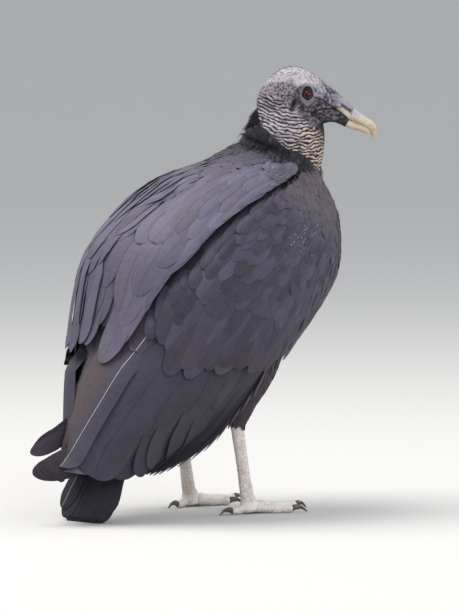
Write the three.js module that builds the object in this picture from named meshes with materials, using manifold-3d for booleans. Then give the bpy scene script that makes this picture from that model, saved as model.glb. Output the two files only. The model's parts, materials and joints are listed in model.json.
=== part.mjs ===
// A life-size standing black vulture (Coragyps atratus), in millimetres, +Z up, looking along +X.
// The head is turned to the bird's right, and the feet and the drooping tail rest on the floor.
import * as THREE from "three";
import { mergeVertices } from "three/addons/utils/BufferGeometryUtils.js";
import Module from "manifold-3d";

const wasm = await Module();
wasm.setup();

// ---- driving dimensions ----

const gap = 0.3; // left between parts that touch
const bodyLine = { tail: [-157, 40], neck: [98, 318] }; // X and Z of the ends of the body's axis
const rearTurn = 180; // degrees that the axis levels out for each length past its tail end

// The feathered outline round the body's axis, from the wing tips (below 0) to the neck (1).
// The shoulders stand out from an oval on both sides of the back's midline.
const halfWidth = through([[-0.25, 12], [0, 32], [0.25, 84], [0.5, 104], [0.75, 99], [0.9, 78], [1, 52]]);
const backHeight = through([[-0.25, 26], [0, 45], [0.25, 74], [0.5, 117], [0.75, 89], [0.9, 61], [1, 46]]);
const bellyDepth = through([[-0.25, 8], [0, 32], [0.25, 65], [0.5, 72], [0.75, 81], [0.9, 62], [1, 38]]);
const shoulders = through([[0, 0], [0.3, 5], [0.45, 6], [0.6, 10], [0.7, 13.4], [0.8, 9.4], [0.9, 2.2], [1, 0]]);
const rumpLimit = through([[0.1, 15], [0.2, 31], [0.3, 54], [0.4, 84], [0.5, 130]]); // the trunk's own taper
const trunkSpan = [0.13, 0.998];

const wingDepth = 13; // the folded arm with its coverts
const wingUnderside = 16.5; // the wing's inner face never lies deeper than this
const wingRoom = 24; // how deep the trunk lies under the wing and the hand feathers
const secondaries = 10; // flight feathers whose tips notch the wing's rear edge
const notchDepth = 0.024; // as a share of the body's length
const capeDepth = 6.5; // the scapular feathers
const floorLevel = 0;

const tail = { root: [-126, 74], knee: [-146, 42], tip: [-164, -3], rootHalf: 14, tipHalf: 43, arch: 7, feathers: 12 };
const tailSway = 4; // how far the tail's tip lies to the bird's left
const tailCorner = 17; // how far the outermost tail feathers fall short of the middle ones

const hip = [12, 40, 170];
const hock = [-13, 42, 84];
const ankle = [0, 43, 11];
const leftStep = 9; // how far the left foot stands ahead of the right
const toes = [
  { name: "inner", turn: 27, length: 40, thick: 4.4 },
  { name: "middle", turn: -2, length: 61, thick: 4.8 },
  { name: "outer", turn: -32, length: 43, thick: 4.2 },
  { name: "hind", turn: 172, length: 19, thick: 3.8 },
];
const claw = { length: 13, thick: 2.9, drop: 2.2 };

const headPlace = [103.9, -17.9, 383.5]; // the midpoint between the eyes
const headTurn = -45; // degrees, towards the bird's right
const eye = { radius: 7, halfSpan: 11.6 };
const orbit = { radii: [8.6, 6, 7.6], halfSpan: 21.6 };

// ---- small tools ----

const degrees = Math.PI / 180;
const mix = THREE.MathUtils.lerp;
const smooth = (x, from, to) => {
  const s = Math.min(1, Math.max(0, (x - from) / (to - from)));
  return s * s * (3 - 2 * s);
};

// A smooth curve through a few [place, value] stations, which never overshoots them.
function through(stations) {
  const rise = stations.slice(1).map(([x, y], i) => (y - stations[i][1]) / (x - stations[i][0]));
  const slope = stations.map((_, i) => {
    const before = rise[i - 1] ?? rise[i];
    const after = rise[i] ?? rise[i - 1];
    return before * after <= 0 ? 0 : (2 * before * after) / (before + after);
  });
  return (x) => {
    const last = stations.length - 1;
    if (x <= stations[0][0]) return stations[0][1];
    if (x >= stations[last][0]) return stations[last][1];
    const i = stations.findIndex((s) => s[0] > x) - 1;
    const width = stations[i + 1][0] - stations[i][0];
    const s = (x - stations[i][0]) / width;
    const ease = s * s * (3 - 2 * s);
    return (
      mix(stations[i][1], stations[i + 1][1], ease) +
      width * s * (1 - s) * ((1 - s) * slope[i] - s * slope[i + 1])
    );
  };
}

// A solid from a closed geometry whose every vertex is moved by place(vertex).
function shaped(geometry, place) {
  geometry.deleteAttribute("normal");
  geometry.deleteAttribute("uv");
  const merged = mergeVertices(geometry, 1e-4);
  const at = merged.getAttribute("position");
  const corner = new THREE.Vector3();
  for (let i = 0; i < at.count; i++) {
    const moved = place(corner.fromBufferAttribute(at, i).clone());
    at.setXYZ(i, moved.x, moved.y, moved.z);
  }
  const made = solidOf(merged);
  return made.volume() > 0 ? made : solidOf(merged, true);
}

function solidOf(geometry, turned = false) {
  const triVerts = new Uint32Array(geometry.index.array);
  if (turned) triVerts.reverse();
  const vertProperties = new Float32Array(geometry.getAttribute("position").array);
  return new wasm.Manifold(new wasm.Mesh({ numProp: 3, vertProperties, triVerts }));
}

// A body with flat ends: centre(s) runs along it from 0 to 1, and rim(s, angle) goes round it.
function loft(sides, rings, centre, rim) {
  return shaped(new THREE.SphereGeometry(1, sides, rings), (v) => {
    const row = (Math.acos(THREE.MathUtils.clamp(v.y, -1, 1)) / Math.PI) * rings;
    const s = THREE.MathUtils.clamp((row - 1) / (rings - 2), 0, 1);
    return row < 0.5 || row > rings - 0.5 ? centre(s) : rim(s, Math.atan2(v.z, v.x));
  });
}

// A tube along a curve. size(s) gives its half-sizes [across, over], and across its sideways direction.
function tube(curve, sides, rings, across, size) {
  return loft(
    sides,
    rings,
    (s) => curve.getPoint(s),
    (s, angle) => {
      const ahead = curve.getTangent(s);
      const over = new THREE.Vector3().crossVectors(ahead, across).normalize();
      const aside = new THREE.Vector3().crossVectors(over, ahead).normalize();
      const [a, b] = size(s);
      return curve
        .getPoint(s)
        .addScaledVector(aside, a * Math.cos(angle))
        .addScaledVector(over, b * Math.sin(angle));
    },
  );
}

// A bent plate: place(u, w, depth) runs along, across and through it, each from 0 to 1.
function plate(rows, columns, place) {
  return shaped(new THREE.BoxGeometry(1, 1, 1, rows, columns, 1), (v) => place(v.x + 0.5, v.y + 0.5, v.z + 0.5));
}

const spline = (points) => new THREE.CatmullRomCurve3(points.map((p) => new THREE.Vector3(...p)), false, "centripetal");

// ---- the body's own coordinates: t along its axis, phi round it from the back's midline, inset below the outline ----

const axisRun = new THREE.Vector2(...bodyLine.neck).sub(new THREE.Vector2(...bodyLine.tail));
const bodyLength = axisRun.length();
const axisAngle = axisRun.angle();

function bodyPoint(t, phi, inset = 0) {
  const past = Math.min(t, 0);
  const middle = axisAngle + past * 0.5 * rearTurn * degrees;
  const here = axisAngle + past * rearTurn * degrees;
  const along = t * bodyLength;
  const x = bodyLine.tail[0] + along * Math.cos(middle);
  const z = bodyLine.tail[1] + along * Math.sin(middle);
  const bulge = Math.cos(phi) > 0 ? shoulders(t) * Math.sin(2 * phi) ** 2 : 0;
  const lift = (Math.cos(phi) > 0 ? backHeight(t) : bellyDepth(t)) + bulge - inset;
  const out = Math.max(lift, 1) * Math.cos(phi);
  const side = Math.max(halfWidth(t) + bulge - inset, 1) * Math.sin(phi);
  return new THREE.Vector3(x - out * Math.sin(here), -side, z + out * Math.cos(here));
}

// ---- the scapular cape: a flap of long shoulder feathers on each side of the midline ----

// Where each flap's outer edge lies, in degrees round the body, at each t. The left one hangs wider.
const capeEdge = {
  right: through([[0.16, 4], [0.23, 16], [0.285, 21], [0.35, 29], [0.42, 34], [0.5, 40], [0.7, 43], [0.9, 51]]),
  left: through([[0.26, 48], [0.32, 54], [0.45, 52], [0.6, 47], [0.9, 51]]),
};
const capeTip = {
  right: through([[0, 0.185], [0.5, 0.2], [0.75, 0.235], [1, 0.3]]),
  left: through([[0, 0.22], [0.4, 0.255], [0.8, 0.265], [1, 0.3]]),
};
const capeInner = { right: -2, left: 4 };
const capeFront = through([[0, 0.66], [18, 0.8], [34, 0.875], [52, 0.905]]); // by degrees from the midline

function cape(side) {
  const sign = side === "right" ? 1 : -1;
  return plate(11, 6, (u, w, depth) => {
    const front = capeFront(w * 52);
    const t = mix(front, capeTip[side](w), u);
    const phi = mix(capeInner[side], capeEdge[side](t), w);
    const thin = Math.min(smooth(u, -0.08, 0.12), smooth(1 - u, -0.3, 0.25), smooth(1 - w, -0.35, 0.3));
    return bodyPoint(t, sign * phi * degrees, depth * capeDepth * thin + 0.01);
  });
}

// How much of the cape lies over a point of the body: 1 under it, 0 well clear of it.
function underCape(side, t, phi, edge, ahead) {
  const front = capeFront(Math.min(phi, 52));
  const tip = capeTip[side](Math.min(1, phi / capeEdge[side](t)));
  const beside = 1 - smooth(phi, capeEdge[side](t) + 1.5, capeEdge[side](t) + 1.5 + edge);
  return beside * (1 - smooth(t, front, front + ahead)) * smooth(t, tip - 0.055, tip - 0.025);
}

// ---- the folded wing ----

// The wing's front edge and its feather tips, by share across it from the back to the belly side.
const wingFront = {
  t: through([[0, 0.8], [0.22, 0.92], [0.45, 0.95], [0.7, 0.9], [0.88, 0.74], [1, 0.6]]),
  phi: through([[0, 36], [0.22, 58], [0.45, 88], [0.7, 116], [0.88, 131], [1, 137]]),
};
const wingTips = {
  t: through([[0, -0.065], [0.12, -0.05], [0.3, -0.01], [0.42, 0.03], [0.55, 0.08], [0.7, 0.18], [0.85, 0.32], [1, 0.47]]),
  phi: through([[0, 7], [0.12, 36], [0.3, 74], [0.42, 98], [0.55, 118], [0.7, 132], [0.85, 136], [1, 137]]),
};
const wingThickness = through([[0, 0.22], [0.07, 0.85], [0.2, 1], [0.45, 1], [0.7, 0.55], [1, 0.2]]);

const innerTip = { right: -5, left: 8 }; // the right wing's inmost tips lie across the left's

function wingPlace(side, u, w) {
  const notch = notchDepth * (1 - Math.sqrt(Math.abs(Math.sin(Math.PI * w * secondaries))));
  const t = mix(wingFront.t(w), wingTips.t(w) + notch * smooth(u, 0.6, 1), u);
  const tip = wingTips.phi(w) + innerTip[side] * (1 - smooth(w, 0, 0.2));
  const phi = mix(wingFront.phi(w), tip, mix(u, u * u, smooth(w, 0, 0.2)));
  return { t, phi };
}

function wing(side, grow = 0) {
  const sign = side === "right" ? 1 : -1;
  return plate(9, 2 * secondaries, (u, w, depth) => {
    const { t, phi } = wingPlace(side, u, w);
    const cover = (capeDepth + 1) * underCape(side, t, phi, 7, 0.03);
    const edges = Math.min(smooth(w, -0.12, 0.06), smooth(1 - w, -0.05, 0.16));
    const thick = Math.min(wingDepth * wingThickness(u) * edges, wingUnderside - cover);
    return bodyPoint(t, sign * phi * degrees, cover + 0.02 + depth * thick + (2 * depth - 1) * grow);
  });
}

// ---- the wing tips: the long hand feathers that run under the wing and show past it ----

const handFeathers = {
  right: { t: [0.42, 0.25, 0.08, -0.04], phi: [104, 86, 58, 24], inset: [19.5, 18, 14, 11.5], tip: [-220, 5, 52] },
  left: { t: [0.42, 0.25, 0.08, -0.04], phi: [104, 86, 62, 42], inset: [19.5, 18, 14, 12], tip: [-210, 28, 78] },
};
const handHalf = through([[0, 12], [0.35, 14], [0.8, 12.5], [0.95, 11], [1, 5]]);
const fingers = 3;

function wingTip(side) {
  const sign = side === "right" ? 1 : -1;
  const { t, phi, inset, tip } = handFeathers[side];
  const lie = (depth) => t.map((value, i) => bodyPoint(value, sign * phi[i] * degrees, inset[i] + depth).toArray());
  const middle = spline([...lie(0), tip]);
  const inner = spline([...lie(5), [tip[0] + 1.5, tip[1] + sign * 2.5, tip[2] - 4]]);
  return plate(10, 2 * fingers, (u, w, depth) => {
    const finger = 0.04 * (1 - Math.sqrt(Math.abs(Math.sin(Math.PI * w * fingers)))) + 0.06 * w;
    const reach = u * (1 - finger * smooth(u, 0.6, 1));
    const here = middle.getPoint(reach);
    const outward = here.clone().sub(inner.getPoint(reach)).normalize();
    const across = new THREE.Vector3().crossVectors(middle.getTangent(reach), outward).multiplyScalar(sign).normalize();
    const aside = (w - 0.5) * 2;
    return here
      .addScaledVector(across, aside * handHalf(u))
      .addScaledVector(outward, (0.5 - depth) * mix(3.2, 1.6, u) - 1.6 * aside * aside);
  });
}

// ---- tail, trunk and neck ----

function tailFan() {
  const line = spline([tail.root, tail.knee, tail.tip].map(([x, z]) => [x, 0, z]));
  return plate(5, 2 * tail.feathers, (u, w, depth) => {
    const aside = (w - 0.5) * 2;
    const reach = u * (1 - (tailCorner / line.getLength()) * aside ** 4);
    const here = line.getPoint(reach);
    const ahead = line.getTangent(reach);
    const back = new THREE.Vector3(-ahead.z, 0, ahead.x).multiplyScalar(-1);
    const tread = 1.1 * Math.abs(Math.sin(Math.PI * w * tail.feathers)) * u;
    here.y = tailSway * u + aside * mix(tail.rootHalf, tail.tipHalf, u ** 0.8);
    here.addScaledVector(back, tail.arch * (aside * aside - 0.5) + tread + (depth - 0.5) * mix(5, 3, u));
    here.z = Math.max(here.z, floorLevel);
    return here;
  });
}

// Where the wing's front edge lies, by degrees round the body.
const trunkBare = through([[30, 0.82], [58, 0.925], [90, 0.955], [116, 0.905], [131, 0.75], [138, 0.62]]);

// The trunk lies below the outline wherever the wings and the cape cover it.
function trunkInset(side, t, phi) {
  const inner = mix(36, 7 + innerTip[side], THREE.MathUtils.clamp((0.8 - t) / 0.865, 0, 1));
  const front = trunkBare(phi);
  const across = smooth(phi, inner - 15, inner - 4) * (1 - smooth(phi, 138, 148));
  const wingOver = across * (1 - smooth(t, front - 0.1, front + 0.085));
  const capeOver = underCape(side, t - 0.03, phi, 9, 0.06);
  return Math.max(wingRoom * wingOver, (capeDepth + 3) * capeOver, 0.05);
}

function trunkRadius(grow) {
  return loft(
    24,
    23,
    (s) => {
      const t = mix(...trunkSpan, s);
      return bodyPoint(t, 0, backHeight(t)).lerp(bodyPoint(t, Math.PI, bellyDepth(t)), 0.5);
    },
    (s, angle) => {
      const t = mix(...trunkSpan, s);
      const phi = Math.abs(angle) / degrees;
      const outline = Math.cos(angle) > 0 ? backHeight(t) : bellyDepth(t);
      const inset = Math.max(trunkInset(angle > 0 ? "right" : "left", t, phi), outline - rumpLimit(t));
      return bodyPoint(t, angle, inset - grow);
    },
  );
}

// The neck from the shoulders into the skull, in the head's own frame: centre, half-sizes and lean.
const neckLine = spline([[-36, -4, -86], [-29, -6, -64], [-22, -6, -47], [-19, -3, -31], [-20, 0, -14], [-21, 0, 2]]);
const neckHalf = through([[0, 50], [0.2, 46], [0.4, 42], [0.6, 35], [0.8, 28.5], [1, 18]]);
const neckBreadth = through([[0, 53], [0.2, 49], [0.4, 40], [0.6, 29], [0.8, 22], [1, 15]]);
const bareLine = { back: [-50, -6], front: [19, -68] }; // the feathered collar's edge, X and Z in the head's frame

const towardsCheek = new THREE.Vector3(0, 1, 0);
const neckWhole = (grow) => tube(neckLine, 24, 13, towardsCheek, (s) => [neckBreadth(s) + grow, neckHalf(s) + grow]);

// ---- the head, in its own frame: +X along the bill, +Z up, the eyes at the origin's height ----

const crown = through([[-48, -7], [-46.5, -1], [-43, 6], [-39, 11.3], [-30.6, 18.7], [-23, 24], [-13, 25.6], [-4.6, 24.3],
  [3.6, 19.6], [13, 12.2], [19.4, 7.8], [26.5, 2.5], [36.9, -8.1], [42, -12.4]]);
const jaw = through([[-48, -9], [-46.5, -15], [-43, -22], [-36, -29], [-20, -33], [-5, -32], [6, -29.5], [14.7, -27.1],
  [22, -25.7], [29, -26.7], [36, -30.4], [42, -32.6]]);
const cheek = through([[-48, 1], [-46.5, 8], [-43, 12.5], [-36, 17], [-26, 20], [-14, 20.8], [-4, 19.8], [4, 17.6], [12, 14.6],
  [20, 11.6], [29, 9], [36, 7.9], [42, 7.3]]);
const skullRings = [-48, -46.5, -43, -39, -34, -28, -20, -12, -5, 2, 8, 14, 20, 26, 32, 38, 42];

function skull(grow) {
  const xAt = (s) => {
    const place = s * (skullRings.length - 1);
    const i = Math.min(Math.floor(place), skullRings.length - 2);
    return mix(skullRings[i], skullRings[i + 1], place - i);
  };
  return loft(
    16,
    skullRings.length + 1,
    (s) => new THREE.Vector3(xAt(s), 0, (crown(xAt(s)) + jaw(xAt(s))) / 2),
    (s, angle) => {
      const x = xAt(s);
      const rise = Math.sin(angle);
      const middle = mix(jaw(x), crown(x), 0.56);
      const reach = (rise > 0 ? crown(x) - middle : middle - jaw(x)) + grow;
      const narrow = 1 - 0.2 * Math.max(0, -rise) ** 2;
      return new THREE.Vector3(x, (cheek(x) + grow) * narrow * Math.cos(angle), middle + reach * rise);
    },
  );
}

const upperLine = spline([[28, 0, -7.6], [34, 0, -12.2], [43, 0, -19.6], [52, 0, -24.6], [58, 0, -28.6], [61.2, 0, -33],
  [61.8, 0, -37.5], [61.3, 0, -41.2]]);
const upperHalf = through([[0, 6.4], [0.14, 6.3], [0.29, 5.7], [0.43, 4.5], [0.57, 4.5], [0.71, 3.6], [0.86, 2.1], [1, 0.5]]);
const upperBreadth = through([[0, 8.6], [0.14, 7.9], [0.29, 7.1], [0.43, 6.2], [0.57, 5.2], [0.71, 3.9], [0.86, 2], [1, 0.5]]);
const lowerLine = spline([[28, 0, -22], [34, 0, -25], [43, 0, -29.8], [52, 0, -32.6], [59.4, 0, -36.6]]);
const lowerHalf = through([[0, 4.4], [0.25, 4.1], [0.5, 3], [0.8, 2.7], [1, 0.9]]);
const lowerBreadth = through([[0, 7.6], [0.25, 7], [0.5, 6.1], [0.8, 4.6], [1, 2.2]]);
const upperJaw = (grow) => tube(upperLine, 12, 13, towardsCheek, (s) => [upperBreadth(s) + grow, upperHalf(s) + grow]);
const lowerJaw = (grow) => tube(lowerLine, 12, 8, towardsCheek, (s) => [lowerBreadth(s) + grow, lowerHalf(s) + grow]);

// A slab that fills one side of a plane square to the head's midplane. It goes through two X, Z points.
function sideOf(from, to, shift) {
  const reach = 400;
  const run = new THREE.Vector2(to[0] - from[0], to[1] - from[1]).normalize();
  const away = new THREE.Vector2(-run.y, run.x);
  return shaped(new THREE.BoxGeometry(reach, reach, reach), (v) => {
    const over = v.z + reach / 2 + shift;
    return new THREE.Vector3(from[0] + run.x * v.x + away.x * over, v.y, from[1] + run.y * v.x + away.y * over);
  });
}

const hornLine = [[33.4, -34], [45.5, -8]]; // where skin gives way to horn, from the chin to the ridge of the bill

function ball(radii, centre) {
  return shaped(new THREE.SphereGeometry(1, 12, 8), (v) => v.multiply(new THREE.Vector3(...radii)).add(centre));
}

const eyeAt = (side, span) => new THREE.Vector3(0, side === "right" ? -span : span, 0);

function headParts() {
  const behindHorn = sideOf(...hornLine, gap / 2);
  const aheadOfHorn = sideOf(...[...hornLine].reverse(), gap / 2);
  const horn = upperJaw(0).intersect(aheadOfHorn);
  const lowerHorn = lowerJaw(0).subtract(upperJaw(gap)).intersect(aheadOfHorn);
  let head = skull(0).add(upperJaw(0)).add(lowerJaw(0)).intersect(behindHorn);
  for (const side of ["right", "left"]) {
    head = head.subtract(ball(orbit.radii, eyeAt(side, orbit.halfSpan)));
    head = head.subtract(ball(Array(3).fill(eye.radius + gap), eyeAt(side, eye.halfSpan)));
  }
  const skullGap = skull(gap);
  const collarSide = sideOf(bareLine.front, bareLine.back, gap / 2);
  const bareSide = sideOf(bareLine.back, bareLine.front, gap / 2);
  const whole = neckWhole(0).subtract(skullGap);
  const bodySide = inHeadFrame(belowNeck());
  return {
    head,
    bill_upper: horn,
    bill_lower: lowerHorn,
    neck: biggest(whole.intersect(bareSide).subtract(bodySide)),
    collar: biggest(whole.intersect(collarSide).subtract(bodySide)),
    eye_right: ball(Array(3).fill(eye.radius), eyeAt("right", eye.halfSpan)),
    eye_left: ball(Array(3).fill(eye.radius), eyeAt("left", eye.halfSpan)),
  };
}

// The largest of the separate bodies that a cut leaves.
function biggest(made) {
  return made.decompose().reduce((a, b) => (a.volume() > b.volume() ? a : b));
}

// A block that holds all of the body's side of the plane where the neck begins.
function belowNeck() {
  const reach = 300;
  return shaped(new THREE.BoxGeometry(reach, reach, reach), (v) => {
    const square = bodyPoint(1, 0, backHeight(1) - 1).sub(bodyPoint(1, Math.PI, bellyDepth(1) - 1)).normalize();
    const ahead = new THREE.Vector3(Math.cos(axisAngle), 0, Math.sin(axisAngle));
    return bodyPoint(1, 0, backHeight(1))
      .addScaledVector(ahead, v.z - reach / 2 + gap)
      .addScaledVector(square, v.x)
      .add(new THREE.Vector3(0, v.y, 0));
  });
}

const headMatrix = new THREE.Matrix4()
  .makeRotationZ(headTurn * degrees)
  .setPosition(...headPlace);

function inHeadFrame(made) {
  return made.transform([...headMatrix.clone().invert().elements]);
}

// ---- legs and feet ----

function legPoint(side, [x, y, z]) {
  return new THREE.Vector3(x + (side === "left" ? leftStep : 0), side === "left" ? y : -y, z);
}

function thigh(side, grow = 0) {
  const stops = [hip, [3, 42, 136], [-9, 43, 105], hock].map((p) => legPoint(side, p).toArray());
  const half = through([[0, 36], [0.35, 27], [0.7, 15.5], [1, 8.8]]);
  if (grow) stops.push(hock.map((value, i) => stops[3][i] + (stops[3][i] - stops[2][i]) * 0.02));
  return tube(spline(stops), 14, 8, new THREE.Vector3(0, 1, 0), (s) => [half(s) * 0.9 + grow, half(s) + grow]);
}

function shank(side) {
  const stops = [hock, [-7, 42.5, 48], ankle].map((p) => legPoint(side, p).toArray());
  const half = through([[0, 7.8], [0.18, 6.6], [0.5, 6.2], [0.85, 6.8], [1, 8]]);
  const whole = tube(spline(stops), 10, 6, new THREE.Vector3(0, 1, 0), (s) => [half(s) * 0.8, half(s)]);
  return whole.subtract(below(ankle[2] + gap));
}

// A toe's middle line, from the ankle over the ball of the foot to the root of the claw.
function toeLine(side, toe) {
  const turn = (side === "left" ? -toe.turn : toe.turn) * degrees;
  const centre = legPoint(side, [ankle[0], ankle[1], 0]);
  const stop = (share, height) =>
    [centre.x + toe.length * share * Math.cos(turn), centre.y + toe.length * share * Math.sin(turn), height];
  const low = toe.thick * 0.82;
  return spline([stop(0, 7.5), stop(0.25, low + 2.4), stop(0.6, low + 0.5), stop(1, low)]);
}

function foot(side) {
  const level = (made) => made.subtract(below(floorLevel));
  const ankleTop = legPoint(side, ankle);
  const pad = loft(
    12,
    6,
    (s) => new THREE.Vector3(ankleTop.x + 1.5, ankleTop.y, ankleTop.z * s),
    (s, angle) => {
      const half = mix(9.6, 8, s);
      return new THREE.Vector3(
        ankleTop.x + 1.5 * (1 - s) + half * Math.cos(angle),
        ankleTop.y + half * 0.86 * Math.sin(angle),
        ankleTop.z * s,
      );
    },
  );
  return toes.reduce((made, toe) => {
    const knuckle = (s) => toe.thick * (1 + 0.1 * Math.cos(s * 6 * Math.PI)) * mix(1.2, 0.82, s);
    return made.add(level(tube(toeLine(side, toe), 8, 8, new THREE.Vector3(0, 0, 1), (s) => [knuckle(s), knuckle(s)])));
  }, pad).intersect(below(ankle[2]));
}

// A block that holds everything below a height.
function below(height) {
  return shaped(new THREE.BoxGeometry(400, 400, 50), (v) => v.setZ(v.z - 25 + height));
}

function clawOf(side, toe) {
  const line = toeLine(side, toe);
  const root = line.getPoint(1);
  const ahead = line.getTangent(1).setZ(0).normalize();
  const start = root.clone().addScaledVector(ahead, 2 * gap);
  const bend = start.clone().addScaledVector(ahead, claw.length * 0.55).setZ(root.z + 0.6);
  const end = start.clone().addScaledVector(ahead, claw.length).setZ(0.8);
  const half = through([[0, claw.thick], [0.4, claw.thick * 0.72], [1, 0.5]]);
  return tube(spline([start, bend, end].map((p) => p.toArray())), 6, 5, new THREE.Vector3(0, 0, 1), (s) =>
    [half(s), half(s) * 0.8]);
}

// ---- the whole bird ----

const finishes = {
  plumage: { color: 0x2b2b31, roughness: 0.75, metalness: 0 },
  cape: { color: 0x4a4852, roughness: 0.7, metalness: 0 },
  bareSkin: { color: 0x6f6866, roughness: 0.8, metalness: 0 },
  horn: { color: 0xb3a688, roughness: 0.45, metalness: 0 },
  legSkin: { color: 0xb4aca0, roughness: 0.8, metalness: 0 },
  clawHorn: { color: 0x3a3530, roughness: 0.5, metalness: 0 },
  eye: { color: 0x2a0f08, roughness: 0.1, metalness: 0 },
};

const bird = new THREE.Group();
const headGroup = new THREE.Group();
headGroup.applyMatrix4(headMatrix);
bird.add(headGroup);

function addPart(group, name, made, finish) {
  const { vertProperties, triVerts } = made.getMesh();
  const geometry = new THREE.BufferGeometry();
  geometry.setAttribute("position", new THREE.BufferAttribute(vertProperties, 3));
  geometry.setIndex(new THREE.BufferAttribute(triVerts, 1));
  geometry.computeVertexNormals();
  const mesh = new THREE.Mesh(geometry, new THREE.MeshStandardMaterial(finishes[finish]));
  mesh.name = name;
  group.add(mesh);
}

const headFinish = { bill_upper: "horn", bill_lower: "horn", collar: "plumage", eye_right: "eye", eye_left: "eye" };
for (const [name, made] of Object.entries(headParts())) addPart(headGroup, name, made, headFinish[name] ?? "bareSkin");

addPart(bird, "trunk", trunkRadius(0), "plumage");
addPart(bird, "tail", tailFan(), "plumage");
const trunkGap = trunkRadius(gap);
for (const side of ["right", "left"]) {
  const folded = wing(side);
  addPart(bird, `scapulars_${side}`, cape(side), "cape");
  addPart(bird, `wing_${side}`, folded, "plumage");
  addPart(bird, `wingtip_${side}`, biggest(wingTip(side).subtract(wing(side, gap))), "plumage");
  const upperLeg = biggest(thigh(side).subtract(trunkGap).subtract(folded));
  addPart(bird, `thigh_${side}`, upperLeg, "plumage");
  addPart(bird, `shank_${side}`, shank(side).subtract(thigh(side, gap)), "legSkin");
  addPart(bird, `foot_${side}`, foot(side), "legSkin");
  for (const toe of toes) addPart(bird, `claw_${side}_${toe.name}`, clawOf(side, toe), "clawHorn");
}

// The origin lies on the floor under the middle of the bird.
bird.updateMatrixWorld(true);
const around = new THREE.Box3().setFromObject(bird, true);
const middle = around.getCenter(new THREE.Vector3());
bird.position.set(-middle.x, -middle.y, 0);

export default bird;
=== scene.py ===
import json
import math

import bmesh
import bpy
import numpy as np
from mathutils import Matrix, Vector

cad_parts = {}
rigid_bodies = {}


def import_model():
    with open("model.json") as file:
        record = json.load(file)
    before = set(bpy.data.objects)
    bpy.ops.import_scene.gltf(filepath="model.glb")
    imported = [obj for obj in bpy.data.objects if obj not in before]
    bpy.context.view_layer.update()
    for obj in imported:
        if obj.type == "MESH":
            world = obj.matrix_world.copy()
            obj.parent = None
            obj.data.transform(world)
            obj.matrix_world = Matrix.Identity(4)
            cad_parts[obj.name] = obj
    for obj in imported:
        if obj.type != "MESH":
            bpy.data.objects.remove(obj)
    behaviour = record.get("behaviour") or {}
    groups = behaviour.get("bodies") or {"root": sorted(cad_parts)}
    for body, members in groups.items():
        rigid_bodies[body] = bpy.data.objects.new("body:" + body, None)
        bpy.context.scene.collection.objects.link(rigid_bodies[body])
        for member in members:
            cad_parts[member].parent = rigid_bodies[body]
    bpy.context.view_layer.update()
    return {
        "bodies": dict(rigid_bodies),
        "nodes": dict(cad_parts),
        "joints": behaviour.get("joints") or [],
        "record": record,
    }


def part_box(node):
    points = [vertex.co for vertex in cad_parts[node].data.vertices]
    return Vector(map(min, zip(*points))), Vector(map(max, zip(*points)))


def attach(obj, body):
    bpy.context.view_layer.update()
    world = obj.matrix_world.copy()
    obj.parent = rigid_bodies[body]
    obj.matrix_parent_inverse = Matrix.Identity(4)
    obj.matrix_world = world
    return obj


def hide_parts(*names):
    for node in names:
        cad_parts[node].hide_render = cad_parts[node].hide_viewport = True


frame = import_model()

# Lengths are in millimetres in the bird's own frame, which lies midway between its feet:
# X ahead, Y to its left, Z up. They become metres when a mesh is made.
# A place on the body is t, along its axis from the wing tips (0) to the neck (1),
# phi, degrees round it from the middle of the back towards the bird's right,
# and an inset, the depth below the outline of the plumage.

rng = np.random.default_rng(41)
sides = {"right": 1, "left": -1}


def through(*stations):
    # a smooth curve through [place, value] stations, which never overshoots them
    xs, ys = np.array(stations, float).T
    rise = np.diff(ys) / np.diff(xs)
    before = np.concatenate([rise[:1], rise])
    after = np.concatenate([rise, rise[-1:]])
    total = np.where(before * after > 0, before + after, 1)
    slope = np.where(before * after > 0, 2 * before * after / total, 0)

    def at(x):
        x = np.clip(x, xs[0], xs[-1])
        i = np.clip(np.searchsorted(xs, x, side="right") - 1, 0, len(xs) - 2)
        width = xs[i + 1] - xs[i]
        s = (x - xs[i]) / width
        ease = s * s * (3 - 2 * s)
        bend = width * s * (1 - s) * ((1 - s) * slope[i] - s * slope[i + 1])
        return ys[i] * (1 - ease) + ys[i + 1] * ease + bend

    return at


def path(*points):
    # a curve through points, read by its share of the way from 0 to 1
    columns = [through(*[(i / (len(points) - 1), p[k]) for i, p in enumerate(points)]) for k in range(3)]
    return lambda s: np.stack([column(np.asarray(s, float)) for column in columns], -1)


def mix(a, b, s):
    return a + (b - a) * s


def smooth(x, low, high):
    s = np.clip((x - low) / (high - low), 0, 1)
    return s * s * (3 - 2 * s)


def bell(distance, breadth):
    return np.exp(-(distance / breadth) ** 2)


def unit(v):
    return v / np.maximum(np.linalg.norm(v, axis=-1, keepdims=True), 1e-9)


def lattice(cells, seed):
    # a fixed random number from 0 to 1 for each whole-number place
    c = cells.astype(np.int64)
    h = (c[..., 0] * 73856093) ^ (c[..., 1] * 19349663) ^ (c[..., 2] * 83492791) ^ (seed * 2654435761)
    h = (h ^ (h >> 13)) * 1274126177
    return ((h ^ (h >> 16)) & 0xFFFFFF) / 0xFFFFFF


def grain(points, size, seed=0):
    # soft noise from -1 to 1 with lumps of the given size
    p = points / size
    base = np.floor(p)
    f = p - base
    f = f * f * (3 - 2 * f)
    total = 0
    for dx in (0, 1):
        for dy in (0, 1):
            for dz in (0, 1):
                corner = lattice(base + [dx, dy, dz], seed)
                share = np.abs(1 - dx - f[..., 0]) * np.abs(1 - dy - f[..., 1]) * np.abs(1 - dz - f[..., 2])
                total = total + corner * share
    return total * 2 - 1


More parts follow.
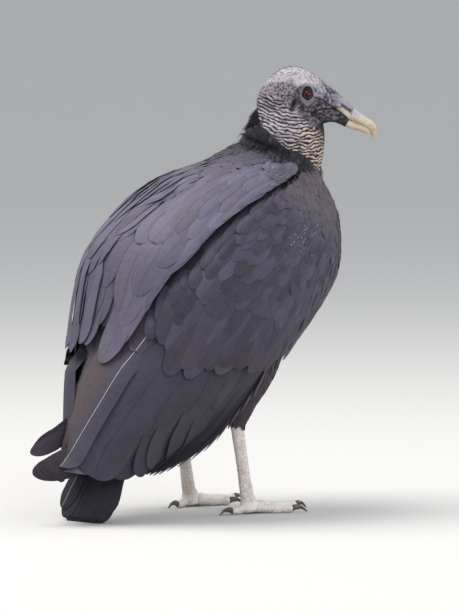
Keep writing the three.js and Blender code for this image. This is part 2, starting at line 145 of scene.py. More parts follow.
def pebbles(points, size, seed=0):
    # 0 at the edges between pebbles and 1 at their middles
    p = points / size
    base = np.floor(p)
    near = np.full(points.shape[:-1], 9.0)
    second = near.copy()
    for dx in (-1, 0, 1):
        for dy in (-1, 0, 1):
            for dz in (-1, 0, 1):
                cell = base + [dx, dy, dz]
                spot = cell + np.stack([lattice(cell, seed + k) for k in range(3)], -1)
                d = np.linalg.norm(p - spot, axis=-1)
                second = np.minimum(second, np.maximum(d, near))
                near = np.minimum(near, d)
    return np.clip((second - near) * 1.8, 0, 1)


def fromLine(x, z, points):
    # distance from a chain of straight lines in a plane
    best = np.full(np.shape(x), 1e9)
    for (ax, az), (bx, bz) in zip(points, points[1:]):
        dx, dz = bx - ax, bz - az
        s = np.clip(((x - ax) * dx + (z - az) * dz) / (dx * dx + dz * dz), 0, 1)
        best = np.minimum(best, np.hypot(x - ax - s * dx, z - az - s * dz))
    return best


# the body's axis, and the outline of the plumage along it
tailEnd, neckEnd = np.array([-157.0, 40.0]), np.array([98.0, 318.0])
bodyLength = np.linalg.norm(neckEnd - tailEnd)
axisAngle = math.atan2(*(neckEnd - tailEnd)[::-1])
halfWidth = through([-0.25, 12], [0, 32], [0.25, 84], [0.5, 104], [0.75, 99], [0.9, 78], [1, 52])
backHeight = through([-0.25, 26], [0, 45], [0.25, 74], [0.5, 117], [0.75, 89], [0.9, 61], [1, 46])
bellyDepth = through([-0.25, 8], [0, 32], [0.25, 65], [0.5, 72], [0.75, 81], [0.9, 62], [1, 38])
shoulders = through([0, 0], [0.3, 5], [0.45, 6], [0.6, 10], [0.7, 13.4], [0.8, 9.4], [0.9, 2.2], [1, 0])
rumpLimit = through([0.1, 15], [0.2, 31], [0.3, 54], [0.4, 84], [0.5, 130])


def bodyPoint(t, phi, inset=0.0):
    t, phi, inset = np.broadcast_arrays(np.asarray(t, float), np.radians(phi), np.asarray(inset, float))
    # past the axis's lower end the body curls down towards the tail
    past = np.minimum(t, 0)
    middle, here = axisAngle + past * math.pi / 2, axisAngle + past * math.pi
    bulge = np.where(np.cos(phi) > 0, shoulders(t) * np.sin(2 * phi) ** 2, 0)
    lift = np.where(np.cos(phi) > 0, backHeight(t), bellyDepth(t)) + bulge - inset
    out = np.maximum(lift, 1) * np.cos(phi)
    side = np.maximum(halfWidth(t) + bulge - inset, 1) * np.sin(phi)
    along = t * bodyLength
    return np.stack([
        tailEnd[0] + along * np.cos(middle) - out * np.sin(here),
        -side,
        tailEnd[1] + along * np.sin(middle) + out * np.cos(here),
    ], -1)


# The cape of scapular feathers: phi at each flap's outer and inner edge for t, t at its tips
# for the share of the way across it, and t at its front for phi.
capeEdge = {
    "right": through([0.16, 4], [0.23, 16], [0.285, 21], [0.35, 29], [0.42, 34],
                     [0.5, 40], [0.7, 43], [0.9, 51]),
    "left": through([0.26, 48], [0.32, 54], [0.45, 52], [0.6, 47], [0.9, 51]),
}
capeTip = {
    "right": through([0, 0.185], [0.5, 0.2], [0.75, 0.235], [1, 0.3]),
    "left": through([0, 0.22], [0.4, 0.255], [0.8, 0.265], [1, 0.3]),
}
capeInner = {
    "right": through([0.2, -3], [0.37, 5], [0.66, 7]),
    "left": through([0.2, 8], [0.37, -1], [0.66, -4]),
}
capeFront = through([0, 0.66], [18, 0.8], [34, 0.875], [52, 0.905])
capeDepth, capeBreadth, capeLap = 6.5, 52, 3.0
tipFade = (0.055, 0.025)


def underCape(side, t, phi, fade, ahead):
    # 1 under the cape and 0 clear of it, fading over some degrees beside it and some way ahead of it
    front = capeFront(np.minimum(phi, capeBreadth))
    edge = capeEdge[side](t)
    tip = capeTip[side](np.clip(phi / edge, 0, 1))
    beside = 1 - smooth(phi, edge + capeLap, edge + capeLap + fade)
    return beside * (1 - smooth(t, front, front + ahead)) * smooth(t, tip - tipFade[0], tip - tipFade[1])


# The folded wing: u runs from its front edge to its feather tips and w from the back to the belly.
wingFront = {
    "t": through([0, 0.8], [0.22, 0.92], [0.45, 0.95], [0.7, 0.9], [0.88, 0.74], [1, 0.6]),
    "phi": through([0, 36], [0.22, 58], [0.45, 88], [0.7, 116], [0.88, 131], [1, 137]),
}
wingRear = {
    "t": through([0, -0.065], [0.12, -0.05], [0.3, -0.01], [0.42, 0.03], [0.55, 0.08],
                 [0.7, 0.18], [0.85, 0.32], [1, 0.47]),
    "phi": through([0, 4], [0.12, 36], [0.3, 74], [0.42, 98], [0.55, 118],
                   [0.7, 132], [0.85, 136], [1, 137]),
}
trunkBare = through([30, 0.82], [58, 0.925], [90, 0.955], [116, 0.905], [131, 0.75], [138, 0.62])
wingRoom = 24


def wingPlace(u, w):
    t = mix(wingFront["t"](w), wingRear["t"](w), u)
    phi = mix(wingFront["phi"](w), wingRear["phi"](w), mix(u, u * u, smooth(w, 0, 0.2)))
    return t, phi


def wingSurface(side):
    def at(u, w, inset):
        t, phi = wingPlace(u, w)
        cover = (capeDepth + capeLap) * underCape(side, t, phi, 5.5, 0.03)
        return bodyPoint(t, sides[side] * phi, inset + cover)
    return at


def flightSurface(side):
    def at(t, phi, inset):
        cover = (capeDepth + 1.5) * underCape(side, t, np.abs(phi), 8, 0.03)
        return bodyPoint(t, sides[side] * phi, inset + cover)
    return at


def trunkInset(side, t, phi):
    # room for the folded wing and the cape over the trunk
    inner = mix(36, 2 if side == "right" else 15, np.clip((0.8 - t) / 0.865, 0, 1))
    front = trunkBare(phi)
    across = smooth(phi, inner - 15, inner - 4) * (1 - smooth(phi, 138, 148))
    wingOver = across * (1 - smooth(t, front - 0.1, front + 0.085))
    capeOver = underCape(side, t, phi, 9, 0.025)
    return np.maximum(wingRoom * wingOver, (capeDepth + capeLap) * capeOver)


def coverOver(t, phi):
    # the same for a whole turn, by the side that phi lies on
    return np.where(phi > 0, trunkInset("right", t, np.abs(phi)), trunkInset("left", t, np.abs(phi)))


def bareTrunk(t, phi, inset):
    # the body under the wings and the cape, where contour feathers grow
    turned = (np.asarray(phi) + 180) % 360 - 180
    up = np.cos(np.radians(turned))
    height = np.where(up > 0, backHeight(t), bellyDepth(t))
    chest = smooth(-up, -0.5, 0.2) * (5 * smooth(t, 0.45, 0.65) + 130 * np.maximum(t - 0.89, 0))
    intoNeck = 260 * np.maximum(t - 0.965, 0) + chest
    return bodyPoint(t, turned, inset + intoNeck + np.maximum(coverOver(t, turned), height - rumpLimit(t)))


# the head's frame: X along the bill, Z up, the eyes at the origin's height
headPlace = np.array([103.9, -17.9, 383.5])
headTurn = math.radians(-45)


def fromHead(p):
    c, s = math.cos(headTurn), math.sin(headTurn)
    x, y = p[..., 0], p[..., 1]
    return headPlace + np.stack([c * x - s * y, s * x + c * y, p[..., 2]], -1)


def toHead(p):
    q = p - headPlace
    c, s = math.cos(headTurn), math.sin(headTurn)
    x, y = q[..., 0], q[..., 1]
    return np.stack([c * x + s * y, -s * x + c * y, q[..., 2]], -1)


# the whole model is moved so that its right eye is where the part has it
eyeHalfSpan, eyeRadius = 11.6, 7.0
eyeLow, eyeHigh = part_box("eye_right")
eyeSeen = (np.array(eyeLow) + np.array(eyeHigh)) / 2 * 1000
originShift = eyeSeen - fromHead(np.array([0, -eyeHalfSpan, 0.0]))


def metres(points):
    return (np.asarray(points, float) + originShift) / 1000


def millimetres(points):
    return points * 1000 - originShift


class Wire:
    # a socket of a material's tree, which can take part in sums
    def __init__(self, tree, socket=None):
        self.tree = tree
        self.socket = socket

    def node(self, kind, settings, values, out=0):
        made = self.tree.nodes.new(kind)
        for name, value in settings.items():
            setattr(made, name, value)
        for name, value in values.items():
            if isinstance(value, Wire):
                self.tree.links.new(value.socket, made.inputs[name])
            else:
                made.inputs[name].default_value = value
        return Wire(self.tree, made.outputs[out])

    def math(self, operation, *values):
        return self.node("ShaderNodeMath", {"operation": operation}, dict(enumerate(values)))

    def __add__(self, other):
        return self.math("ADD", self, other)

    def __radd__(self, other):
        return self.math("ADD", other, self)

    def __sub__(self, other):
        return self.math("SUBTRACT", self, other)

    def __rsub__(self, other):
        return self.math("SUBTRACT", other, self)

    def __mul__(self, other):
        return self.math("MULTIPLY", self, other)

    def __rmul__(self, other):
        return self.math("MULTIPLY", other, self)

    def __truediv__(self, other):
        return self.math("DIVIDE", self, other)

    def __rtruediv__(self, other):
        return self.math("DIVIDE", other, self)

    def step(self, low, high):
        settings = {"interpolation_type": "SMOOTHSTEP"}
        return self.node("ShaderNodeMapRange", settings, {0: self, 1: low, 2: high, 3: 0.0, 4: 1.0})

    def blend(self, a, b, kind="MIX"):
        # a colour between two, by this number
        a, b = [v if isinstance(v, Wire) else (*v, 1) for v in (a, b)]
        settings = {"data_type": "RGBA", "blend_type": kind}
        return self.node("ShaderNodeMix", settings, {0: self, 6: a, 7: b}, out=2)

    def noise(self, place, scale, detail=3.0, rough=0.55):
        values = {"Vector": place, "Scale": scale, "Detail": detail, "Roughness": rough}
        return self.node("ShaderNodeTexNoise", {}, values)

    def vector(self, x, y, z):
        return self.node("ShaderNodeCombineXYZ", {}, {0: x, 1: y, 2: z})

    def other(self, out):
        # another output of the same node
        return Wire(self.tree, self.socket.node.outputs[out])

    def attribute(self, name):
        vector = self.node("ShaderNodeAttribute", {"attribute_name": name}, {}, out=1)
        split = self.node("ShaderNodeSeparateXYZ", {}, {0: vector})
        return [split.other(i) for i in range(3)]


def newMaterial(name):
    material = bpy.data.materials.new(name)
    material.use_nodes = True
    tree = material.node_tree
    surface = tree.nodes["Principled BSDF"]
    start = Wire(tree)
    place = start.node("ShaderNodeTexCoord", {}, {}, out=3)
    return material, start, surface, place


def plug(start, surface, **values):
    # names stand for the surface's sockets, and a tuple is a colour
    for name, value in values.items():
        socket = surface.inputs[name.replace("_", " ")]
        if isinstance(value, Wire):
            start.tree.links.new(value.socket, socket)
        else:
            socket.default_value = (*value, 1) if isinstance(value, tuple) else value


def bump(start, height, strength, distance):
    return start.node("ShaderNodeBump", {}, {"Height": height, "Strength": strength, "Distance": distance})


def newPiece(name, mesh, material, replaces=()):
    piece = bpy.data.objects.new(name, mesh)
    bpy.context.scene.collection.objects.link(piece)
    mesh.materials.clear()
    mesh.materials.append(material)
    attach(piece, "root")
    if replaces:
        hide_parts(*replaces)
    return piece


def meshOf(name, points, quads):
    mesh = bpy.data.meshes.new(name)
    mesh.vertices.add(len(points))
    mesh.vertices.foreach_set("co", metres(points).astype(np.float32).ravel())
    mesh.loops.add(quads.size)
    mesh.loops.foreach_set("vertex_index", quads.astype(np.int32).ravel())
    mesh.polygons.add(len(quads))
    mesh.polygons.foreach_set("loop_start", np.arange(0, quads.size, 4, dtype=np.int32))
    mesh.update(calc_edges=True)
    mesh.validate()
    mesh.shade_smooth()
    return mesh


def setAttribute(mesh, name, values):
    layer = mesh.attributes.new(name, "FLOAT_VECTOR", "POINT")
    layer.data.foreach_set("vector", np.ascontiguousarray(values, dtype=np.float32).ravel())


def setUv(mesh, name, perPoint):
    corners = np.empty(len(mesh.loops), np.int32)
    mesh.loops.foreach_get("vertex_index", corners)
    layer = mesh.uv_layers.new(name=name)
    layer.data.foreach_set("uv", perPoint[corners].astype(np.float32).ravel())


# a vane's section by its number of points: shares of its half width and of its thickness
sections = {
    4: {"across": [-1, 0, 1, 0], "over": [0, 1, 0, -0.6], "cap": [(0, 1, 2, 3)]},
    6: {"across": [-1, -0.5, 0, 0.5, 1, 0], "over": [0, 0.7, 1, 0.7, 0, -0.6],
        "cap": [(0, 1, 2, 5), (2, 3, 4, 5)]},
}
tightBend, flatBend = 14, 400
floorGap = 0.4


def outline(s, blunt=0.72, neck=0.35):
    # a vane's half width along it, as a share: narrow at the root and round at the tip
    rise = np.clip(s / neck, 0.02, 1) ** 0.6
    fall = np.sqrt(np.clip(1 - np.clip((s - blunt) / (1 - blunt), 0, 1) ** 2, 0.0009, 1))
    return rise * fall


def roundness(surface, a, b, inset, out, aside=8):
    # the radius of the surface's bend across a vane, measured a little way to its sides
    here = surface(a, b, inset)
    pace = np.linalg.norm(surface(a, b + 0.01, inset) - here, axis=-1) / 0.01
    reach = aside / np.maximum(pace, 1e-3)
    fall = surface(a, b + reach, inset) + surface(a, b - reach, inset) - 2 * here
    bend = -np.sum(fall * out, -1) / aside ** 2
    return 1 / np.clip(bend, 1 / flatBend, 1 / tightBend)


class Coat:
    # many closed, thin vanes gathered into one mesh
    def __init__(self, name):
        self.name = name
        self.count = 0
        self.parts = {part: [] for part in ("points", "quads", "rims", "lie", "zone", "vane", "bake")}

    def add(self, surface, a, b, inset, half, tone, zone, root, tilt=0.0, curve=None, thick=0.3, ring=4,
            ragged=0.06, patch=0.003, cup=0.0, skew=0.0):
        # a, b and inset are (vanes, rows) places on the surface, and half is the half width there.
        # cup is how far the edges drop below the shaft, and skew widens one side.
        # root is each vane's place on the bake map and patch its size there
        a, b, inset, half = np.broadcast_arrays(*[np.asarray(v, float) for v in (a, b, inset, half)])
        n, r = a.shape
        here = surface(a, b, inset)
        out = unit(here - surface(a, b, inset + 2.0))
        ahead = unit(np.gradient(here, axis=1))
        across = unit(np.cross(out, ahead))
        out = np.cross(ahead, across)
        if curve is None:
            curve = roundness(surface, a, b, inset, out)[..., None]
        shape = sections[ring]
        beside = np.array(shape["across"], float)
        over = np.array(shape["over"], float)
        wobble = 1 - ragged * rng.random((n, r, 2))
        reach = np.where(beside < 0, wobble[..., :1], wobble[..., 1:]) * beside * half[..., None]
        reach = reach * (1 + skew * np.sign(beside))
        height = over * thick - reach ** 2 / (2 * curve) + np.asarray(tilt)[..., None, None] * beside
        height = height - cup * (reach / np.max(half, axis=1)[:, None, None]) ** 2
        points = here[:, :, None] + across[:, :, None] * reach[..., None]
        points = points + out[:, :, None] * height[..., None]
        # nothing sinks through the floor
        low = np.minimum(points[..., 2] - floorGap, 0)
        points[..., 2] = np.maximum(points[..., 2], floorGap) * np.exp(low / floorGap)
        pace = np.linalg.norm(np.diff(here, axis=1), axis=-1)
        length = np.concatenate([np.zeros((n, 1)), np.cumsum(pace, 1)], 1)
        k = len(beside)
        grid = self.count + np.arange(n * r * k).reshape(n, r, k)
        turn = np.roll(grid, -1, 2)
        walls = np.stack([grid[:, :-1], grid[:, 1:], turn[:, 1:], turn[:, :-1]], -1).reshape(-1, 4)
        rootCaps = [grid[:, 0][:, list(cap)] for cap in shape["cap"]]
        tipCaps = [grid[:, -1][:, list(cap)[::-1]] for cap in shape["cap"]]
        zone = np.asarray(zone, float)
        zone = zone.reshape(n, 1, 1, 3) if zone.ndim == 2 else zone

        def full(values):
            return np.broadcast_to(values, (n, r, k))

        along = full(np.linspace(0, 1, r)[None, :, None])
        tone = full(np.asarray(tone, float).reshape(-1, 1, 1))
        local = np.stack([full(beside * 0.5), along - 0.5], -1)
        made = {
            "points": points.reshape(-1, 3),
            "quads": np.concatenate([walls, *rootCaps, *tipCaps]),
            "rims": full(np.where(np.abs(beside) == 1, beside, 0)).ravel(),
            "lie": np.stack([full(np.abs(beside)), along, tone], -1).reshape(-1, 3),
            "zone": np.broadcast_to(zone, (n, r, k, 3)).reshape(-1, 3),
            "vane": np.stack([reach, full(length[..., None])], -1).reshape(-1, 2),
            "bake": (root[:, None, None] + local * patch).reshape(-1, 2),
        }
        for part, values in made.items():
            self.parts[part].append(values)
        self.count += n * r * k

    def build(self, material, replaces=()):
        made = {part: np.concatenate(values) for part, values in self.parts.items()}
        mesh = meshOf(self.name, made["points"], made["quads"])
        # the rims of the vanes are sharp
        ends = np.empty(len(mesh.edges) * 2, np.int32)
        mesh.edges.foreach_get("vertices", ends)
        ends = made["rims"][ends.reshape(-1, 2)]
        sharp = mesh.attributes.new("sharp_edge", "BOOLEAN", "EDGE")
        sharp.data.foreach_set("value", (ends[:, 0] != 0) & (ends[:, 0] == ends[:, 1]))
        for name in ("lie", "zone"):
            setAttribute(mesh, name, made[name])
        setUv(mesh, "vane", made["vane"])
        setUv(mesh, "OFBake", made["bake"])
        print("  ", self.name, len(made["quads"]) * 2, "triangles")
        return newPiece(self.name, mesh, material, replaces)


def rowsOf(count, blunt=0.7):
    # places along a vane, closest together round its tip
    base = int(count * 0.45)
    straight = np.linspace(0, blunt, base, endpoint=False)
    return np.concatenate([straight, blunt + (1 - blunt) * np.sin(np.linspace(0, math.pi / 2, count - base))])


def runBack(surface, a, b, length, da, db):
    # how far to go along da, db from a, b to cover the wanted length on the surface
    base = surface(a, b, 0)
    tryout = surface(a + da * 0.02, b + db * 0.02, 0)
    return length / np.maximum(np.linalg.norm(tryout - base, axis=-1), 1e-6) * 0.02


def contourTract(coat, surface, a, b, da, db, length, half, deep, shallow, tone, zone, rows, blunt, **more):
    # vanes with their tips at a, b, which run back along -da, -db to their roots.
    # deep is the roots' depth and shallow the tips', which sag a little onto the next row
    step = runBack(surface, a, b, length, da, db)
    s = rowsOf(rows, blunt)[None]
    aPath = (a - da * step)[:, None] + (da * step)[:, None] * s
    bPath = (b - db * step)[:, None] + (db * step)[:, None] * s
    deep = np.broadcast_to(deep, a.shape)
    shallow = np.broadcast_to(shallow, a.shape)
    sag = 0.3 * deep[:, None] * (np.maximum(s - 0.75, 0) / 0.25) ** 2
    inset = mix(deep[:, None], shallow[:, None], s ** 0.8) + sag
    coat.add(surface, aPath, bPath, inset, half[:, None] * outline(s, blunt), tone, zone,
             cup=0.3 * float(np.mean(deep)), **more)


print("camera, floor and light")
view = {"aim": (10, -9, 190), "azimuth": -45, "elevation": 4, "distance": 6000, "lens": 381.2}
studio = {
    "floor": (0.56, 0.55, 0.53),
    "floorRadius": 60,
    "world": (0.90, 0.94, 1.0),
    "worldStrength": 0.75,
    "lamps": [
        # place and size in metres, strength in watts, colour
        {"name": "above", "at": (-0.5, 0.7, 2.3), "size": 1.6, "watts": 62, "colour": (1, 0.98, 0.96)},
        {"name": "nearSide", "at": (-0.9, -2.1, 1.3), "size": 1.4, "watts": 26, "colour": (0.95, 0.97, 1)},
        {"name": "ahead", "at": (2.2, -0.6, 1.2), "size": 1.2, "watts": 18, "colour": (1, 0.97, 0.92)},
    ],
}
aim = metres(view["aim"])
azimuth = math.radians(view["azimuth"])
elevation = math.radians(view["elevation"])
level = math.cos(elevation)
towards = np.array([math.sin(azimuth) * level, -math.cos(azimuth) * level, math.sin(elevation)])
camera = bpy.data.objects.new("camera", bpy.data.cameras.new("camera"))
camera.data.lens = view["lens"]
camera.data.clip_end = 200
camera.location = aim + towards * view["distance"] / 1000
camera.rotation_euler = Vector(-towards).to_track_quat("-Z", "Y").to_euler()
bpy.context.scene.collection.objects.link(camera)
bpy.context.scene.camera = camera

for lamp in studio["lamps"]:
    light = bpy.data.lights.new(lamp["name"], "AREA")
    light.energy = lamp["watts"]
    light.size = lamp["size"]
    light.color = lamp["colour"]
    holder = bpy.data.objects.new(lamp["name"], light)
    holder.location = lamp["at"]
    holder.rotation_euler = (Vector(aim) - Vector(lamp["at"])).to_track_quat("-Z", "Y").to_euler()
    bpy.context.scene.collection.objects.link(holder)

world = bpy.data.worlds.new("studio")
world.use_nodes = True
sky = world.node_tree.nodes["Background"]
sky.inputs["Color"].default_value = (*studio["world"], 1)
sky.inputs["Strength"].default_value = studio["worldStrength"]
bpy.context.scene.world = world
bpy.context.scene.view_settings.view_transform = "Standard"

bm = bmesh.new()
bmesh.ops.create_circle(bm, cap_ends=True, segments=96, radius=studio["floorRadius"])
floorMesh = bpy.data.meshes.new("floor")
bm.to_mesh(floorMesh)
bm.free()
floor = bpy.data.objects.new("floor", floorMesh)
bpy.context.scene.collection.objects.link(floor)
material, start, surface, place = newMaterial("floor")
plug(start, surface, Base_Color=studio["floor"], Roughness=0.9)
floorMesh.materials.append(material)


print("materials")
plumage = {
    "slate": (0.046, 0.043, 0.068),
    "slateDark": (0.017, 0.015, 0.022),
    "lilac": (0.150, 0.136, 0.195),
    "brown": (0.085, 0.058, 0.056),
    "pale": (0.52, 0.50, 0.47),
    "black": (0.0060, 0.0050, 0.0075),
    "rim": 0.32,
    "roughness": 0.6,
}


def featherMaterial(name):
    # lie holds the share across and along a vane and its tone; zone how lilac, brown and pale it is,
    # where less than nothing of pale is black, which is both black plumage and painted shadow
    material, start, surface, place = newMaterial(name)
    beside, along, tone = start.attribute("lie")
    lilac, brown, pale = start.attribute("zone")
    uv = start.node("ShaderNodeUVMap", {"uv_map": "vane"}, {})
    split = start.node("ShaderNodeSeparateXYZ", {}, {0: uv})
    x = start.math("ABSOLUTE", split)
    y = split.other(1)
    # barbs slant outwards to the tip, and wander a little
    wander = start.noise(place, 160, 2)
    slant = y - x * 1.3
    barb = start.math("SINE", slant * 5.2 + wander * 5) * 0.5 + 0.5
    cloud = start.noise(place, 45, 4)
    streak = start.noise(start.vector(x * 0.35, slant * 1.4, tone * 40), 0.9, 4)
    edge = beside.step(0.72, 1.0) * along.step(0.2, 0.6)
    tip = along.step(0.9, 1.0)
    wearAndSheen = start.math("MINIMUM", edge + tip, 1.0) * plumage["rim"] * (0.4 + cloud)
    shaft = 1 - beside.step(0.0, 0.07)
    ruffle = start.noise(place, 150, 2)
    shade = tone * 0.42 + cloud * 0.6 + streak * 0.8 + ruffle * 0.4 - 0.74
    base = shade.blend(plumage["slateDark"], plumage["slate"])
    base = (lilac * (0.55 + 0.5 * shade)).blend(base, plumage["lilac"])
    base = (brown * (0.35 + 0.75 * cloud)).blend(base, plumage["brown"])
    base = (wearAndSheen * 0.35).blend(base, plumage["lilac"])
    # the outermost rim of each vane is darkened: painted shade where one vane lies over the next
    base = (beside.step(0.9, 1.0) * 0.6).blend(base, plumage["slateDark"])
    base = (shaft * 0.35 * along.step(0.1, 0.3)).blend(base, plumage["slateDark"])
    base = pale.blend(base, plumage["pale"])
    # black plumage, and painted shadow beside the cape's edge and in the groove under the right flap
    base = (pale * -1).blend(base, plumage["black"])
    height = barb * 0.035 + streak * 0.065 + ruffle
    plug(start, surface, Base_Color=base, Roughness=plumage["roughness"] + 0.2 * streak - 0.08,
         Specular_IOR_Level=0.22, Normal=bump(start, height, 0.55, 0.0013))
    return material


coatMaterial = featherMaterial("contour_feathers")


print("skin")
skinLook = {
    "trunkDepth": 6.5, "neckDepth": 4.5, "thighDepth": 3.5,
    "headVoxel": 0.75, "legVoxel": 0.9, "bodyVoxel": 4.0,
    "ringSpacing": 3.3, "ringHeight": 0.85, "grainSize": 1.6, "grainHeight": 0.55,
    "scaleSize": 2.4, "scaleHeight": 0.4, "toeRing": 3.1,
}


def closing(s, cap):
    # rounds off both ends of a body over a share of its length
    return np.sqrt(np.clip(1 - (1 - np.clip(np.minimum(s, 1 - s) / cap, 0, 1)) ** 2, 0, 1))


def pointsOf(mesh):
    co = np.empty(len(mesh.vertices) * 3, np.float32)
    mesh.vertices.foreach_get("co", co)
    return co.reshape(-1, 3).astype(float)


def loft(name, around, rows, shape):
    # a closed round body, from a ball: shape(s, angle) gives the place of each of its points
    bm = bmesh.new()
    bmesh.ops.create_uvsphere(bm, u_segments=around, v_segments=rows, radius=1)
    co = np.array([v.co for v in bm.verts])
    s = np.arccos(np.clip(-co[:, 2], -1, 1)) / math.pi
    for vert, spot in zip(bm.verts, metres(shape(s, np.arctan2(co[:, 1], co[:, 0])))):
        vert.co = spot
    bmesh.ops.recalc_face_normals(bm, faces=bm.faces)
    mesh = bpy.data.meshes.new(name)
    bm.to_mesh(mesh)
    bm.free()
    return mesh


def tube(line, breadth, half, sideways, cap=0.08, frame=lambda p: p):
    # a round section along a line: breadth sideways, half over it
    def shape(s, angle):
        ahead = unit(line(np.minimum(s + 0.01, 1)) - line(np.maximum(s - 0.01, 0)))
        over = unit(np.cross(ahead, sideways))
        aside = np.cross(over, ahead)
        close = closing(s, cap)
        wide = (breadth(s) * close * np.cos(angle))[:, None]
        high = (half(s) * close * np.sin(angle))[:, None]
        return frame(line(s) + aside * wide + over * high)
    return shape


def evaluated(piece):
    # the mesh that a piece's modifiers give
    return bpy.data.meshes.new_from_object(piece.evaluated_get(bpy.context.evaluated_depsgraph_get()))


def fused(name, meshes, voxel, rounds):
    # one closed skin round several bodies that overlap
    bm = bmesh.new()
    for mesh in meshes:
        bm.from_mesh(mesh)
    joined = bpy.data.meshes.new(name)
    bm.to_mesh(joined)
    bm.free()
    holder = bpy.data.objects.new(name, joined)
    bpy.context.scene.collection.objects.link(holder)
    remesh = holder.modifiers.new("skin", "REMESH")
    remesh.mode = "VOXEL"
    remesh.voxel_size = voxel / 1000
    result = evaluated(holder)
    bpy.data.objects.remove(holder)
    bm = bmesh.new()
    bm.from_mesh(result)
    for _ in range(rounds):
        bmesh.ops.smooth_vert(bm, verts=bm.verts, factor=0.5,
                              use_axis_x=True, use_axis_y=True, use_axis_z=True)
    bm.to_mesh(result)
    bm.free()
    return result


# the head, from the nape to where the bill's horn is well under way
skullBack, skullFront = -48, 42
crown = through([-48, -7], [-46.5, -1], [-43, 6], [-39, 11.3], [-30.6, 18.7], [-23, 24], [-13, 25.6],
                [-4.6, 24.3], [3.6, 19.6], [13, 12.2], [19.4, 7.8], [26.5, 2.5], [36.9, -8.1], [42, -12.4])
jaw = through([-48, -9], [-46.5, -15], [-43, -22], [-36, -29], [-20, -33], [-5, -32], [6, -29.5],
              [14.7, -27.1], [22, -25.7], [29, -26.7], [36, -30.4], [42, -32.6])
cheek = through([-48, 1], [-46.5, 8], [-43, 12.5], [-36, 17], [-26, 20], [-14, 20.8], [-4, 19.8],
                [4, 17.6], [12, 14.6], [20, 11.6], [29, 9], [36, 7.9], [42, 7.3])
neckLine = path((-36, -4, -86), (-29, -6, -64), (-22, -6, -47), (-19, -3, -31), (-20, 0, -14), (-21, 0, 2))
neckHalf = through([0, 46], [0.2, 41.5], [0.4, 38.5], [0.6, 34.5], [0.8, 28.5], [1, 18])
neckBreadth = through([0, 53], [0.2, 49], [0.4, 40], [0.6, 29], [0.8, 22], [1, 15])
towardsCheek = (0, 1, 0)

# the two halves of the bill: the line through each, and its half height and half breadth along it
upperLine = path((28, 0, -7.6), (34, 0, -12.2), (43, 0, -19.6), (52, 0, -24.6), (58, 0, -28.6),
                 (61.2, 0, -33), (61.8, 0, -37.5), (61.3, 0, -41.2))
upperHalf = through([0, 6.4], [0.14, 6.3], [0.29, 5.7], [0.43, 4.5], [0.57, 4.5],
                    [0.71, 3.6], [0.86, 2.1], [1, 0.5])
upperBreadth = through([0, 8.6], [0.14, 7.9], [0.29, 7.1], [0.43, 6.2], [0.57, 5.2],
                       [0.71, 3.9], [0.86, 2], [1, 0.5])
lowerLine = path((28, 0, -22), (34, 0, -25), (43, 0, -29.8), (52, 0, -32.6), (59.4, 0, -36.6))
lowerHalf = through([0, 4.4], [0.25, 4.1], [0.5, 3], [0.8, 2.7], [1, 0.9])
lowerBreadth = through([0, 7.6], [0.25, 7], [0.5, 6.1], [0.8, 4.6], [1, 2.2])


def bareDistance(p):
    # how far a point in the head's frame lies on the bare side of the feathered collar's edge
    dip = 11 * np.clip(np.abs(p[..., 1]) / 22, 0, 1)
    return (p[..., 0] + 50) * 0.668 + (p[..., 2] + 6) * 0.744 + dip


def hornDistance(p):
    # how far ahead of the line where skin gives way to horn
    return (p[..., 0] - 33.4) * 0.9066 - (p[..., 2] + 34) * 0.422


def skullShape(s, angle):
    x = mix(skullBack, skullFront, (1 - np.cos(math.pi * s)) / 2)
    rise = np.sin(angle)
    close = closing(s, 0.05)
    middle = mix(jaw(x), crown(x), 0.56)
    reach = np.where(rise > 0, crown(x) - middle, middle - jaw(x))
    wide = cheek(x) * (1 - 0.2 * np.maximum(0, -rise) ** 2) * np.cos(angle)
    return fromHead(np.stack([x, wide * close, middle + reach * rise * close], -1))


def neckInset(p):
    return skinLook["neckDepth"] * smooth(-bareDistance(p), 0, 8)


def neckShape(s, angle):
    # thinner where the collar's feathers cover it
    outer = tube(neckLine, neckBreadth, neckHalf, towardsCheek, 0.05)(s, angle)
    return fromHead(outer + unit(neckLine(s) - outer) * neckInset(outer)[:, None])


def trunkShape(s, angle):
    t = mix(0.14, 0.985, s)
    close = closing(s, 0.05)[:, None]
    middle = (bodyPoint(t, 0, backHeight(t)) + bodyPoint(t, 180, bellyDepth(t))) / 2
    return mix(middle, bareTrunk(t, np.degrees(angle), skinLook["trunkDepth"]), close)


def wingCore(side):
    # the arm under the coverts, deep enough to meet the trunk
    def shape(s, angle):
        around = np.sin(math.pi * s)
        u = mix(0.03, 0.66, (1 - np.cos(math.pi * s)) / 2)
        w = 0.52 + 0.42 * np.cos(angle) * around ** 0.6
        return wingSurface(side)(u, w, 20 - 13.5 * np.sin(angle) * around ** 0.5)
    return shape


# the legs, by their places on the left before it steps ahead of the right one
hip, hock, ankle = (12, 40, 170), (-13, 42, 84), (0, 43, 11)
leftStep = 9
sideways, upwards = (0, 1, 0), (0, 0, 1)
toes = {
    "inner": {"turn": 27, "length": 40, "thick": 4.4},
    "middle": {"turn": -2, "length": 61, "thick": 4.8},
    "outer": {"turn": -32, "length": 43, "thick": 4.2},
    "hind": {"turn": 172, "length": 19, "thick": 3.8},
}
thighHalf = through([0, 36], [0.35, 27], [0.7, 15.5], [1, 8.8])
shankHalf = through([0, 7], [0.33, 7.8], [0.45, 6.6], [0.7, 6.2], [0.9, 6.8], [1, 7.6])


def legPoint(side, p):
    return (p[0] + leftStep, p[1], p[2]) if side == "left" else (p[0], -p[1], p[2])


def legLine(side, *stops):
    return path(*[legPoint(side, stop) for stop in stops])


def thighLine(side):
    return legLine(side, hip, (3, 42, 136), (-9, 43, 105), hock)


